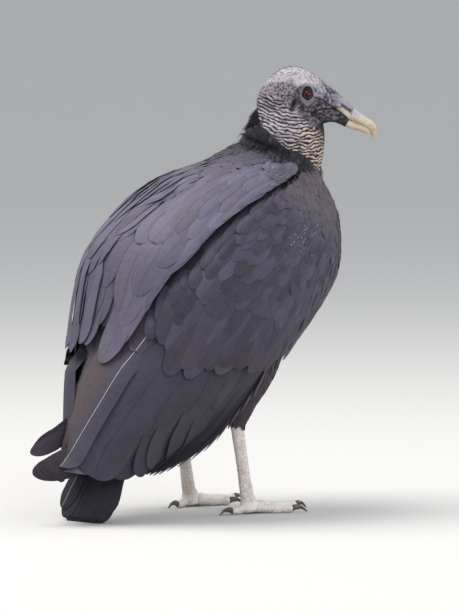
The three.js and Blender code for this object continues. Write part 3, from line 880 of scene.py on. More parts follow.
def toeLine(side, toe):
    turn = math.radians(-toe["turn"] if side == "left" else toe["turn"])
    x, y, _ = legPoint(side, ankle)
    low = toe["thick"] * 0.82

    def stop(share, height):
        far = toe["length"] * share
        return (x + far * math.cos(turn), y + far * math.sin(turn), height)

    return path(stop(0, 7.5), stop(0.25, low + 2.4), stop(0.6, low + 0.5), stop(1, low))


def footMeshes(side):
    # the toes, which swell at their joints, the pad they meet in and the shank
    made = []
    for name, toe in toes.items():
        def size(s, thick=toe["thick"]):
            return thick * (1 + 0.1 * np.cos(s * 6 * math.pi)) * mix(1.2, 0.82, s)
        made.append(loft(name, 24, 40, tube(toeLine(side, toe), size, size, upwards, 0.05)))
    padLine = legLine(side, (ankle[0] + 1.5, ankle[1], 0.5), (ankle[0], ankle[1], 18))
    pad = tube(padLine, lambda s: mix(8.3, 6, s), lambda s: mix(9.6, 7, s), sideways, 0.2)
    made.append(loft("pad", 24, 16, pad))
    shankLine = legLine(side, (-11, 42, 92), hock, (-7, 42.5, 48), ankle)
    shank = tube(shankLine, lambda s: shankHalf(s) * 0.8, shankHalf, sideways, 0.06)
    made.append(loft("shank", 24, 48, shank))
    return made


def billCore(line, breadth, half, share):
    # flesh inside the root of one half of the bill, over a share of its length
    return tube(lambda s: line(s * share), lambda s: breadth(s * share) - 0.1,
                lambda s: half(s * share) - 0.1, towardsCheek, 0.2, fromHead)


def thighCore(side):
    depth = skinLook["thighDepth"]
    return tube(thighLine(side), lambda s: thighHalf(s) * 0.9 - depth,
                lambda s: thighHalf(s) - depth, sideways, 0.06)


headCore = fused("headCore", [
    loft("skull", 64, 72, skullShape),
    loft("neck", 64, 48, neckShape),
    loft("upperCore", 32, 24, billCore(upperLine, upperBreadth, upperHalf, 0.4)),
    loft("lowerCore", 32, 24, billCore(lowerLine, lowerBreadth, lowerHalf, 0.3)),
], skinLook["headVoxel"], 2)
bodyCore = fused("bodyCore", [
    loft("trunk", 96, 80, trunkShape),
    *[loft("thigh", 24, 32, thighCore(side)) for side in sides],
    *[loft("wingCore", 32, 48, wingCore(side)) for side in sides],
], skinLook["bodyVoxel"], 1)
legCores = [fused("legCore", footMeshes(side), skinLook["legVoxel"], 1) for side in sides]
print("   cores", len(headCore.polygons), len(bodyCore.polygons), [len(m.polygons) for m in legCores])

skin = bpy.data.objects.new("skin", bodyCore)
bpy.context.scene.collection.objects.link(skin)
helpers = []
for core in [headCore, *legCores]:
    helper = bpy.data.objects.new("core", core)
    bpy.context.scene.collection.objects.link(helper)
    union = skin.modifiers.new("union", "BOOLEAN")
    union.operation = "UNION"
    union.solver = "MANIFOLD"
    union.object = helper
    helpers.append(helper)
skinMesh = evaluated(skin)
for helper in [skin, *helpers]:
    bpy.data.objects.remove(helper)
skinMesh.name = "skin"


def normalsOf(mesh):
    mesh.update()
    n = np.empty(len(mesh.vertices) * 3, np.float32)
    mesh.vertex_normals.foreach_get("vector", n)
    return n.reshape(-1, 3).astype(float)


def moveTo(mesh, points):
    mesh.vertices.foreach_set("co", metres(points).astype(np.float32).ravel())
    mesh.update()


# the folds of the face, worked into the skin in the head's frame
points = millimetres(pointsOf(skinMesh))
normals = normalsOf(skinMesh)
p = toHead(points)
n = toHead(normals + headPlace)
x, y, z = p.T
onHead = smooth(bareDistance(p), -3, 1) * (np.abs(x) < 80)
side = np.sign(y)
facing = (side * n[:, 1] > 0.25) & (np.abs(y) > 7)
r = np.hypot(x, z)
# lids: an edge close round the ball, then a shallow orbit that opens to the brow
lidLook = {"opening": 4.5, "thick": 0.75, "wide": 6.1, "high": 8.6, "rise": 0.8}
# how far the face's other parts stand out or lie deep, in mm
faceLook = {"brow": 0.7, "nostril": 2.4, "ear": 1.6, "hornStep": 1.1, "welt": 0.35, "plainHeight": 0.14}
lidEdge = np.hypot(x, z / 0.94)
ball = eyeHalfSpan + np.sqrt(np.maximum(eyeRadius ** 2 - r ** 2, 4))
orbit = np.hypot(x / lidLook["wide"], (z - lidLook["rise"]) / lidLook["high"])
face = np.abs(y) - 1.1 * bell(orbit - 0.9, 0.22)
onLid = smooth(lidEdge, lidLook["opening"] - 0.35, lidLook["opening"] + 0.25)
target = mix(ball - 1.5, ball + lidLook["thick"], onLid)
target = mix(target, face, smooth(orbit, 0.66, 1.0))
target = np.where(orbit < 1.35, target, np.abs(y))
near = facing & (r < 13) & (onHead > 0.5)
y = np.where(near, side * target, y)
p = np.stack([x, y, z], -1)

# the ridge of the brow, then the creases
push = faceLook["brow"] * bell(orbit - 1.3, 0.25) * smooth(z, 2, 6) * near
creases = [
    # places along each crease (X, Z), its depth and its breadth
    {"line": [(6.9, -1.9), (13, -4.2), (19, -8), (25.5, -12.6)], "depth": 0.8, "wide": 0.9},
    {"line": [(9, -5.5), (15, -8), (21, -11)], "depth": 0.45, "wide": 0.8},
    {"line": [(12, 1), (18, -2.4), (25, -7.5)], "depth": 0.4, "wide": 0.8},
    {"line": [(4, -17), (9, -14.5), (16.6, -12.8), (26.5, -13.4), (34.2, -19.6), (38, -24.4), (46, -27.5)],
     "depth": 1.3, "wide": 0.85},
    {"line": [(2, -20), (9, -18.4), (17, -17), (25, -18)], "depth": 0.45, "wide": 0.9},
    {"line": [(4, -24), (12, -22), (20, -21.5)], "depth": 0.4, "wide": 0.9},
    {"line": [(-9, 4), (-8, -6), (-4, -13)], "depth": 0.5, "wide": 1.2},
    {"line": [(7, -4), (14, -7), (21, -11.5), (27, -15)], "depth": 0.4, "wide": 0.7},
    {"line": [(10, 3), (17, 0), (24, -4.5), (31, -8)], "depth": 0.35, "wide": 0.7},
    {"line": [(13, 8), (15.5, 4), (15, 0.5)], "depth": 0.5, "wide": 0.8},
    {"line": [(17, 7), (19, 3), (18.5, -1)], "depth": 0.4, "wide": 0.7},
    {"line": [(-4, -12), (2, -11), (8, -12.5)], "depth": 0.35, "wide": 0.7},
    {"line": [(-2, -15), (4, -14), (10, -15)], "depth": 0.35, "wide": 0.7},
    {"line": [(2, -28), (12, -26), (22, -24.5)], "depth": 0.35, "wide": 0.8},
]
lateral = smooth(side * n[:, 1], 0.15, 0.5) * onHead
# creaseShade is painted shade along each crease
creaseShade = np.zeros(len(p))
for crease in creases:
    groove = bell(fromLine(x, z, crease["line"]), crease["wide"]) * lateral
    push -= crease["depth"] * groove
    creaseShade = np.maximum(creaseShade, groove * min(1, crease["depth"] + 0.1))
nostril = bell(fromLine(x, z, [(32.5, -9.6), (36, -12), (40, -15)]), 0.95) * lateral
push -= faceLook["nostril"] * nostril
earHole = bell(np.hypot((x + 13.0 - 0.3 * (z + 8)) / 3.2, (z + 8) / 7.5), 1) * lateral
push -= faceLook["ear"] * earHole
# the skin ends in a low welt where the horn begins
horn = hornDistance(p)
push -= faceLook["hornStep"] * smooth(horn, -0.1, 0.9) * onHead
push += faceLook["welt"] * bell(horn + 1.6, 1.1) * onHead

# rings round the neck and pebbles on the crown
warp = 1.5 * grain(p, 9, 3) + 1.1 * grain(p, 3.8, 5) + 0.35 * grain(p, 1.9, 6)
ring = z - 0.0065 * (x + 6) ** 2 + warp
phase = ring / skinLook["ringSpacing"]
swell = smooth(np.abs(np.sin(math.pi * phase)), 0.36, 1.0)
broken = np.clip(0.72 + 0.55 * grain(p * [1, 1, 1.6], 2.6, 7), 0.1, 1.1)
faceSide = (x + 17.7) * 0.646 + (z + 9.8) * 0.763
ringed = smooth(-faceSide, -2.5, 3.5) * smooth(-z + 1.8 * grain(p, 8, 8), -5, 3)
crownTop = smooth(z - 0.25 * np.abs(y), 5, 13) * smooth(-x, -22, -6)
pebbled = np.maximum(crownTop, smooth(-x - 0.2 * z, 7, 16)) * (1 - ringed)
worms = 1 - 2.4 * np.abs(grain(p, skinLook["grainSize"], 10))
lumps = 0.5 * pebbles(p + 0.6 * grain(p, 5, 9)[:, None], skinLook["grainSize"], 11) + 0.5 * worms
lumps = lumps.clip(0, 1)
folds = swell ** 0.7 * broken
fine = 0.5 + 0.5 * grain(p, 1.9, 13)
plain = (1 - ringed - pebbled).clip(0, 1)
calm = 1 - near * smooth(-orbit, -1.25, -0.95)
relief = ringed * folds + pebbled * lumps + plain * fine * 0.5
height = ringed * skinLook["ringHeight"] * (folds - 0.55)
height += pebbled * skinLook["grainHeight"] * (lumps - 0.5)
height += plain * faceLook["plainHeight"] * (fine * 2 - 1)
push += height * onHead * calm * (1 - smooth(horn, -7, -1))
p = p + n * push[:, None]
points = np.where((onHead > 0.01)[:, None], fromHead(p), points)

# scales of the shanks and toes
onLeg = (points[:, 2] < 95) & (points[:, 0] > -40) & (np.abs(np.abs(points[:, 1]) - 45) < 40)
onLeg = onLeg * (1 - smooth(points[:, 2], 82, 90))
scales = pebbles(points * [1, 1, 0.8], skinLook["scaleSize"], 21)
fromAnkle = np.hypot(points[:, 0] - ankle[0], np.abs(points[:, 1]) - ankle[1])
toeRings = np.abs(np.sin(math.pi * fromAnkle / skinLook["toeRing"])) ** 0.5
onToe = smooth(-points[:, 2], -13, -9)
scales = mix(scales, mix(scales, toeRings, smooth(points[:, 2], 3, 6)), onToe)
points = points + normals * (onLeg * skinLook["scaleHeight"] * (scales - 0.5))[:, None]
points[:, 2] = np.maximum(points[:, 2], 0)
moveTo(skinMesh, points)

# what the colours of the skin follow
tan = ringed * smooth(x, -22, 4) * smooth(-z, 18, 34) + pebbled * lateral * 0.3 * smooth(-z, -14, -4)
browLine = [(-10, 11), (-5, 12.2), (1, 12), (6, 10), (11, 7.2), (15, 3.5)]
brow = bell(fromLine(x, z, browLine), 3.0) * lateral
pale = crownTop * 0.85 + brow * 0.8
relief = mix(relief, 0.7, brow * 0.35)
relief = mix(relief, 0.45, pebbled * 0.4)
cere = bell(fromLine(x, z, [(29, -11.5), (34, -15.5), (42, -21.5)]), 3.0) * smooth(x, 24, 36) * onHead
violet = bell(fromLine(x, z, [(24, -1), (34, -7), (44, -13.5)]), 3.4) * smooth(x, 20, 30) * onHead
lore = bell(fromLine(x, z, [(9, 2), (18, -2), (27, -7)]), 5.5) * lateral
lids = near * (1 - smooth(orbit, 0.8, 1.0))
lowerLid = near * bell(orbit - 0.76, 0.08) * smooth(-z, 0.5, 3.5)
chin = smooth(x, 4, 12) * smooth(-z, 22, 27) * smooth(z, -52, -42) * (1 - smooth(np.abs(y), 10, 16) * 0.6)
# dark is painted shade in the creases, the nostril slit and the ear hole, and the darker skin round the eyes,
# under the chin and off the head
dark = np.maximum.reduce([creaseShade, nostril * 1.2, earHole, lids * 0.9, chin * 0.85, 1 - onHead])
dark = np.where(onLeg > 0.3, 0, dark)
relief = np.where(onLeg > 0.3, scales, mix(0.5, relief, calm) * onHead)
setAttribute(skinMesh, "relief", np.stack([relief, tan, pale.clip(0, 1)], -1))
setAttribute(skinMesh, "front", np.stack([cere, violet, lore], -1).clip(0, 1))
setAttribute(skinMesh, "shade", np.stack([dark.clip(0, 1), onLeg, lowerLid], -1))
skinMesh.shade_smooth()

hide = {
    # crevice is painted shade, and also the skin's darker parts
    "crevice": (0.010, 0.008, 0.010),
    "grey": (0.118, 0.104, 0.116),
    "ridge": (0.345, 0.300, 0.325),
    "tan": (0.54, 0.41, 0.31),
    "pale": (0.43, 0.39, 0.42),
    "cere": (0.60, 0.52, 0.40),
    "violet": (0.30, 0.275, 0.35),
    "lowerLid": (0.30, 0.34, 0.43),
    "legLight": (0.74, 0.68, 0.64),
    "legDark": (0.27, 0.22, 0.20),
    "legStain": (0.30, 0.20, 0.13),
}
material, start, surface, place = newMaterial("bare_skin")
ridge, tanned, whitish = start.attribute("relief")
darkened, leg, lidRim = start.attribute("shade")
cereTone, violetTone, loreTone = start.attribute("front")
cloud = start.noise(place, 90, 5)
speck = start.noise(place, 520, 4, 0.7)
# paler on the raised folds: the skin's own tone, with painted light on the relief; creviceShade is painted
# shade in the low places between them
base = (ridge * 1.35 - 0.25 + (speck - 0.5) * 1.1).step(0.0, 1.0).blend(hide["grey"], hide["ridge"])
creviceShade = (ridge * -1.0).step(-0.42, -0.06) * (1 - whitish * 0.8)
base = (tanned * ridge.step(0.2, 0.9)).blend(base, hide["tan"])
base = (whitish * (0.25 + speck * 1.5) * ridge.step(-0.12, 0.5)).blend(base, hide["pale"])
base = (loreTone * (speck + cloud - 0.1)).blend(base, hide["violet"])
base = (violetTone * (0.55 + 0.5 * cloud)).blend(base, hide["violet"])
base = (cereTone * (0.6 + 0.6 * speck)).blend(base, hide["cere"])
# the painted shade in the crevices
base = (creviceShade * 0.95 * (1 - violetTone * 0.8) * (1 - cereTone)).blend(base, hide["crevice"])
# painted shade in the creases, nostril and ear hole, and the darker skin
base = darkened.step(0.0, 1.0).blend(base, hide["crevice"])
base = (lidRim * 0.9).blend(base, hide["lowerLid"])
stain = (cloud + speck * 0.4 - 0.2).step(0.45, 0.75)
legTone = (ridge * 0.6 + speck * 0.5 + cloud * 0.3 + 0.1).step(0.0, 1.0)
legs = legTone.blend(hide["legDark"], hide["legLight"])
legs = (stain * 0.45).blend(legs, hide["legStain"])
base = leg.blend(base, legs)
plug(start, surface, Base_Color=base, Roughness=0.62 + 0.2 * speck, Specular_IOR_Level=0.22,
     Normal=bump(start, speck * 0.6 + cloud * 0.4, 0.5, 0.0003))
newPiece("skin", skinMesh, material, [
    "trunk", "head", "neck", "collar",
    *[f"{part}_{side}" for part in ("thigh", "shank", "foot") for side in sides]])
print("   skin", len(skinMesh.polygons), "faces")


print("eyes, bill and claws")


def finished(mesh):
    mesh.update()
    mesh.shade_smooth()
    return mesh


eyeLook = {
    "iris": (0.105, 0.020, 0.012), "irisEdge": (0.020, 0.006, 0.005), "pupil": (0.002, 0.002, 0.002),
    "ball": (0.03, 0.02, 0.02), "pupilRadius": 1.95, "irisRadius": 4.5, "cornea": 0.4, "corneaRadius": 4.4,
}
material, start, surface, place = newMaterial("eye")
across, up, _ = start.attribute("iris")
radius = start.math("SQRT", across * across + up * up)
spokes = start.noise(start.vector(across / (radius + 0.1), up / (radius + 0.1), radius * 0.25), 6, 4, 0.6)
iris, pupil = eyeLook["irisRadius"], eyeLook["pupilRadius"]
base = (spokes * 1.4 - 0.2).step(0.1, 0.9).blend(eyeLook["irisEdge"], eyeLook["iris"])
base = radius.step(iris - 0.9, iris).blend(base, eyeLook["irisEdge"])
base = radius.step(iris, iris + 0.3).blend(base, eyeLook["ball"])
base = (1 - radius.step(pupil - 0.15, pupil + 0.15)).blend(base, eyeLook["pupil"])
plug(start, surface, Base_Color=base, Roughness=0.16, Specular_IOR_Level=0.12,
     Coat_Weight=0.25, Coat_Roughness=0.03)


def eyeball(sign):
    # a ball whose clear front stands out a little
    def shape(s, angle):
        lat = math.pi * s
        globe = [np.sin(lat) * np.cos(angle), sign * np.cos(lat), np.sin(lat) * np.sin(angle)]
        spot = np.stack(globe, -1) * eyeRadius
        off = np.hypot(spot[:, 0], spot[:, 2]) / eyeLook["corneaRadius"]
        bulge = eyeLook["cornea"] * np.clip(1 - off ** 2, 0, 1) * (spot[:, 1] * sign < 0)
        spot[:, 1] -= sign * (bulge + eyeHalfSpan)
        return fromHead(spot)
    return shape


for side, sign in sides.items():
    mesh = finished(loft(f"eye_{side}_ball", 48, 48, eyeball(sign)))
    local = toHead(millimetres(pointsOf(mesh)))
    setAttribute(mesh, "iris", local[:, [0, 2, 1]])
    newPiece(f"eyeball_{side}", mesh, material, [f"eye_{side}"])

hornLook = {
    "ivory": (0.58, 0.51, 0.41), "ridge": (0.35, 0.315, 0.385), "ochre": (0.40, 0.28, 0.15),
    "grey": (0.34, 0.31, 0.34), "stain": (0.22, 0.13, 0.07), "tip": (0.56, 0.36, 0.22),
    "root": (0.03, 0.025, 0.03), "roughness": 0.45, "length": 26,
}
material, start, surface, place = newMaterial("bill_horn")
along, above, tip = start.attribute("horn")
cloud = start.noise(place, 130, 5)
speck = start.noise(place, 600, 4, 0.7)
grainLines = start.noise(start.vector(along * 3, above * 14, tip), 3, 4)
base = (cloud * 0.8 + speck * 0.3).step(0.25, 0.8).blend(hornLook["ochre"], hornLook["ivory"])
ridge = above.step(0.0, 0.45) * (1 - along.step(0.08, 0.7)) * (0.7 + cloud * 0.5)
base = ridge.blend(base, hornLook["ridge"])
base = ((1 - along.step(0.0, 0.1)) * above.step(-0.2, 0.3) * 0.5).blend(base, hornLook["grey"])
base = (tip * (0.3 + cloud)).blend(base, hornLook["tip"])
base = (1 - along.step(-0.04, -0.005)).blend(base, hornLook["root"])
base = ((grainLines + speck * 0.3).step(0.72, 0.95) * 0.4).blend(base, hornLook["stain"])
plug(start, surface, Base_Color=base, Roughness=hornLook["roughness"] + 0.25 * speck - 0.1,
     Normal=bump(start, grainLines * 0.5 + speck * 0.5, 0.4, 0.0004))


def recessed(p):
    # the horn's root, which lies inside the skin
    return 1 - 0.2 * (1 - smooth(hornDistance(p), -0.4, 0.5))


lowerTuck = through([0, 2.5], [0.5, 2.6], [0.85, 2.2], [1, 0.6])


def billShape(line, section, cap):
    # section gives the breadth and height of the places round it
    def shape(s, angle):
        place = mix(0.04, 1, s)
        wide, high = section(place, angle)
        ahead = unit(line(np.minimum(place + 0.01, 1)) - line(place - 0.01))
        over = unit(np.cross(ahead, towardsCheek))
        close = closing(s, cap) * recessed(line(place) + over * high[:, None])
        spot = line(place) + over * (high * close)[:, None]
        spot[:, 1] += wide * close
        return fromHead(spot)
    return shape


def upperSection(place, angle):
    # an arched ridge above and a broad, flat edge that laps over the lower bill
    rise = np.sin(angle)
    square = np.abs(np.cos(angle)) ** np.where(rise < 0, -0.45, -0.1)
    wide = upperBreadth(place) * np.cos(angle) * square
    return wide, upperHalf(place) * np.where(rise > 0, rise, 0.86 * rise)


def lowerSection(place, angle):
    # its upper side is hidden in the upper bill
    rise = np.sin(angle)
    high = rise * lowerHalf(place) + lowerTuck(place) * np.maximum(rise, 0)
    return lowerBreadth(place) * 0.93 * np.cos(angle), high


for name, node, shape in (("billUpper", "bill_upper", billShape(upperLine, upperSection, 0.035)),
                          ("billLower", "bill_lower", billShape(lowerLine, lowerSection, 0.05))):
    mesh = finished(loft(name, 64, 80, shape))
    local = toHead(millimetres(pointsOf(mesh)))
    ahead = hornDistance(local) / hornLook["length"]
    axis = upperLine(np.linspace(0, 1, 50))
    rise = (local[:, 2] - np.interp(local[:, 0], axis[:, 0], axis[:, 2])) / upperBreadth(np.array(0.0))
    ridge = rise.clip(0, 1) * (node == "bill_upper")
    tip = smooth(local[:, 0], 52, 60) * smooth(-local[:, 2], 31, 39)
    setAttribute(mesh, "horn", np.stack([ahead, ridge, tip], -1))
    newPiece(name, mesh, material, [node])

clawLook = {
    "length": 13, "arch": 1.6, "inToe": 2.2, "tipHeight": 0.7,
    "half": through([0, 2.755], [0.35, 2.465], [0.7, 1.595], [1, 0.55]),
    "base": (0.045, 0.038, 0.033), "wearAndSheen": (0.15, 0.13, 0.115), "roughness": 0.38,
}
material, start, surface, place = newMaterial("claw_horn")
cloud = start.noise(place, 180, 4)
speck = start.noise(place, 700, 3, 0.7)
base = (cloud * 0.9 + speck * 0.4 - 0.2).step(0.3, 0.8).blend(clawLook["base"], clawLook["wearAndSheen"])
plug(start, surface, Base_Color=base, Roughness=clawLook["roughness"] + 0.25 * speck,
     Normal=bump(start, cloud, 0.3, 0.0004))


def clawShape(line):
    # a hooked cone that carries on from the end of a toe's line
    end = line(np.array(1.0))
    ahead = unit((end - line(np.array(0.98))) * [1, 1, 0])
    root = end - ahead * clawLook["inToe"]
    bend = end + ahead * (0.6 + clawLook["length"] * 0.5) + [0, 0, clawLook["arch"]]
    tip = end + ahead * (0.6 + clawLook["length"])
    tip[2] = clawLook["tipHeight"]
    curve = path(root, (root + bend) / 2 + [0, 0, 1.0], bend, tip)
    half = clawLook["half"]
    return tube(curve, lambda s: half(s) * 0.8, half, (-ahead[1], ahead[0], 0), 0.05)


for side in sides:
    bm = bmesh.new()
    for toe in toes.values():
        bm.from_mesh(loft("claw", 20, 24, clawShape(toeLine(side, toe))))
    mesh = bpy.data.meshes.new(f"claws_{side}")
    bm.to_mesh(mesh)
    bm.free()
    newPiece(f"claws_{side}", finished(mesh), material, [f"claw_{side}_{name}" for name in toes])


print("feathers")


def rowPlaces(surface, a, low, high, spacing, stagger):
    # places along a row that are evenly spaced on the surface
    b = np.linspace(low, high, 80)
    run = surface(np.full(80, float(a)), b, 0)
    length = np.concatenate([[0], np.cumsum(np.linalg.norm(np.diff(run, axis=0), axis=1))])
    count = max(1, int(round(length[-1] / spacing)))
    marks = (np.arange(count) + 0.25 + 0.5 * stagger + rng.uniform(-0.3, 0.3, count)) / count
    return np.interp(marks * length[-1], length, b)


def tract(coat, surface, rows, span, look, keep=None, zone=None, toTip=-1):
    # rows of overlapping vanes. look gives their length, half width and spacing at each row's place
    for k, a in enumerate(rows):
        low, high = span(a)
        b = rowPlaces(surface, a, low, high, look["half"](a) * look["spacing"], k % 2)
        here = a + rng.uniform(-1, 1, len(b)) * look["jitter"] * look["step"](a)
        if keep is not None:
            chosen = keep(here, b)
            here, b = here[chosen], b[chosen]
        if not len(b):
            continue
        size = rng.uniform(0.8, 1.15, len(b))
        da = np.full(len(b), float(toTip))
        db = rng.normal(0, look["stray"], len(b))
        tone = rng.random(len(b))
        kind = np.tile([look["lilac"], look["brown"], 0.0], (len(b), 1)) if zone is None else zone(here, b)
        deep = look["deep"](a) + rng.uniform(-0.25, 0.25, len(b))
        shallow = look["shallow"] + rng.uniform(-0.2, 0.2, len(b))
        contourTract(coat, surface, here, b, da, db, look["length"](a) * size, look["half"](a) * size,
                     deep, shallow, tone, kind, rows=look["rows"], ring=look.get("ring", 4),
                     blunt=look["blunt"], thick=look["thick"], ragged=look["ragged"],
                     tilt=rng.normal(0, 0.25, len(b)), root=bakeRoot(surface(here, b, 0)))


def largest(coat, surface, a, b, toTip, half, length, inset, zone):
    # a few large feathers, placed by their tips
    count = len(a)
    stray = rng.normal(0, 0.03, count)
    contourTract(coat, surface, a, b, np.full(count, toTip), stray, length, half, 3.0, inset,
                 rng.random(count), np.tile(zone, (count, 1)), rows=18, ring=6, blunt=0.7,
                 thick=0.22, ragged=0.03, root=bakeRoot(surface(a, b, 0)))


# the unwrap of the skin: the body's length on it in mm, and where it lies in the square
unwrap = {"length": 560, "start": 0.12, "along": 0.84, "around": 0.94}


def bakeRoot(points):
    # each root's place on the unwrap: round and along the body's axis
    x, y, z = points[:, 0] - tailEnd[0], points[:, 1], points[:, 2] - tailEnd[1]
    along = (x * math.cos(axisAngle) + z * math.sin(axisAngle)) / unwrap["length"]
    out = z * math.cos(axisAngle) - x * math.sin(axisAngle)
    around = np.arctan2(y, out) / (2 * math.pi)
    return np.stack([0.5 + around * unwrap["around"], unwrap["start"] + along * unwrap["along"]], -1)


def between(a, b, step):
    # row places from a to b whose spacing in share grows or shrinks as step says
    places = [a]
    while (places[-1] < b) == (a < b):
        places.append(places[-1] + step(places[-1]) * (1 if b > a else -1))
    return places[:-1]


# the breast, belly and back
body = {
    "length": through([0.1, 42], [0.3, 36], [0.6, 30], [0.85, 25], [1.05, 18]),
    "half": through([0.1, 7.5], [0.3, 6.6], [0.6, 5.8], [0.85, 5.0], [1.05, 3.8]),
    "step": through([0.1, 0.032], [0.4, 0.026], [0.85, 0.021], [1.05, 0.015]),
    "spacing": 1.25, "jitter": 0.4, "stray": 3.0, "deep": through([0.1, 3.4], [0.9, 2.6]), "shallow": 0.6,
    "rows": 8, "blunt": 0.5, "thick": 0.16, "ragged": 0.12,
}


def uncovered(t, phi):
    # feathers are left out where the wing lies deep over them
    return coverOver(t, (phi + 180) % 360 - 180) < 17


def bodyZone(lilac, brown):
    # blacker towards the ruff
    def at(t, phi):
        black = -0.85 * smooth(t, 0.84, 0.98) * smooth(-np.cos(np.radians(phi)), -0.85, 0.1)
        black = np.maximum(black - 0.3 * smooth(t, 0.8, 0.96), -0.9)
        byRuff = -0.95 * smooth(bareDistance(toHead(bareTrunk(t, phi, 0))), -15, -3)
        return np.stack([lilac * (1 - 0.8 * smooth(t, 0.75, 0.95)), brown + 0 * t,
                         np.minimum(black, byRuff)], -1)
    return at


breast = Coat("breast_feathers")
tract(breast, bareTrunk, between(0.13, 1.03, body["step"]), lambda t: (90, 270), body,
      keep=uncovered, zone=bodyZone(0.15, 0.25))
breast.build(coatMaterial)

back = Coat("back_feathers")
tract(back, bareTrunk, between(0.13, 1.03, body["step"]), lambda t: (-90, 90), body,
      keep=uncovered, zone=bodyZone(0.7, 0.15))

neckLength = 110


def neckAt(a, b, inset):
    # a, the share of the way up the neck, below 0 inside the body. b, degrees round it
    a, b, inset = np.broadcast_arrays(a, np.radians(b), inset)
    shape = a.shape
    s, angle, inset = a.ravel(), b.ravel(), inset.ravel()
    extra = np.minimum(s, 0) * neckLength
    s = np.maximum(s, 0)
    centre = neckLine(s)
    ahead = unit(neckLine(s + 0.01) - neckLine(s - 0.01))
    over = unit(np.cross(ahead, towardsCheek))
    aside = np.cross(over, ahead)
    spot = centre + ahead * extra[:, None] + aside * ((neckBreadth(s) - inset) * np.cos(angle))[:, None]
    spot = spot + over * ((neckHalf(s) - inset) * np.sin(angle))[:, None]
    return fromHead(spot).reshape(*shape, 3)


collar = {
    "length": through([-0.2, 22], [0.3, 17], [0.8, 11]),
    "half": through([-0.2, 3.8], [0.3, 3.0], [0.8, 2.0]),
    "step": through([-0.2, 0.06], [0.3, 0.05], [0.8, 0.028]),
    "spacing": 1.2, "jitter": 0.4, "stray": 5.0, "deep": through([-0.2, 3.0], [0.8, 2.0]), "shallow": 0.4,
    "rows": 6, "blunt": 0.35, "thick": 0.15, "ragged": 0.2, "lilac": 0.28, "brown": 0.35,
}
tract(back, neckAt, between(-0.1, 0.98, collar["step"]), lambda s: (0, 360), collar,
      keep=lambda s, angle: bareDistance(toHead(neckAt(s, angle, 0))) < -10)
back.build(coatMaterial)

# the scapular cape
cape = {
    "length": through([0.18, 96], [0.4, 86], [0.6, 64], [0.75, 42], [0.95, 22]),
    "half": through([0.18, 16], [0.4, 14.5], [0.6, 11], [0.75, 7.5], [0.95, 4]),
    "step": through([0.18, 0.07], [0.4, 0.07], [0.6, 0.055], [0.75, 0.036], [0.95, 0.02]),
    "deep": through([0.18, 3.8], [0.6, 3.2], [0.74, 4.0], [0.82, 7.0], [0.95, 8.5]),
    "spacing": 0.95, "jitter": 0.42, "stray": 0.02, "shallow": 0.5, "rows": 14, "ring": 6,
    "blunt": 0.66, "thick": 0.2, "ragged": 0.05, "lilac": 0.9, "brown": 0.05,
}
# slimmer feathers close together draw out the flap's free edge
edging = dict(
    cape,
    step=lambda t: cape["step"](t) * 0.42,
    half=lambda t: cape["half"](t) * 0.5,
    length=lambda t: cape["length"](t) * 0.85,
    blunt=0.45, spacing=1.3, shallow=1.0, stray=0.004,
)
# how deep and over what share of its breadth each flap's inner edge sinks
roll = {"right": (-1.2, 0.25), "left": (5.5, 0.13)}


def capeAt(side):
    # the left flap rolls under at its inner edge and the right one laps over it
    depth, breadth = roll[side]

    def at(t, w, inset):
        sunk = depth * bell(np.maximum(w, 0), breadth) * (1 - smooth(t, 0.62, 0.74))
        return bodyPoint(t, sides[side] * mix(capeInner[side](t), capeEdge[side](t), w), inset + sunk)
    return at


def capeZone(side):
    # painted shadow in the groove where the left flap rolls under the right one
    def zone(t, w):
        groove = -0.8 * bell(w, 0.06) * (t < 0.68) * (side == "left")
        return np.stack([rng.uniform(0.62, 1.0, len(w)), rng.random(len(w)) ** 3 * 0.5, groove], -1)
    return zone


def asShare(half, at):
    # a half width as a share of the flap's breadth
    return lambda t: half(t) / np.linalg.norm(at(t, 1.0, 0.0) - at(t, 0.0, 0.0))


# tips of the largest feathers on the back: place (t, phi), half width and length
showing = {
    "right": [(0.215, 4, 16, 100), (0.25, 10, 14, 90), (0.30, 12, 13, 86), (0.37, 19, 13, 80),
              (0.445, 27, 12, 80), (0.50, 18, 13, 70), (0.595, 14, 11, 60)],
    "left": [(0.26, 20, 17, 96), (0.268, 40, 17, 90), (0.245, 31, 15, 86), (0.297, 10, 15, 90),
             (0.378, 8, 16, 84), (0.45, 24, 15, 80), (0.51, 9, 13, 70), (0.628, 10, 14, 46)],
}
for side in ("left", "right"):
    coat = Coat(f"cape_{side}")
    at = capeAt(side)
    inner = 0.55 if side == "right" else 0.35
    share = asShare(cape["half"], at)
    tract(coat, at, between(0.19, 0.95, cape["step"]),
          lambda t: (inner * share(t), 1 - 0.8 * share(t)), cape, zone=capeZone(side),
          keep=lambda t, w: (t > capeTip[side](w) - 0.01) & (t < capeFront(w * 52) + 0.01))
    slim = asShare(edging["half"], at)
    tract(coat, at, between(0.27, 0.88, edging["step"]),
          lambda t: (1 - 1.5 * slim(t), 1 - 0.8 * slim(t)), edging)
    t, phi, half, length = np.array(showing[side], float).T
    w = (phi - capeInner[side](t)) / (capeEdge[side](t) - capeInner[side](t))
    largest(coat, at, t, w, -1.0, half, length, -0.3, [0.8, 0.1, 0.0])
    coat.build(coatMaterial, [f"scapulars_{side}"])

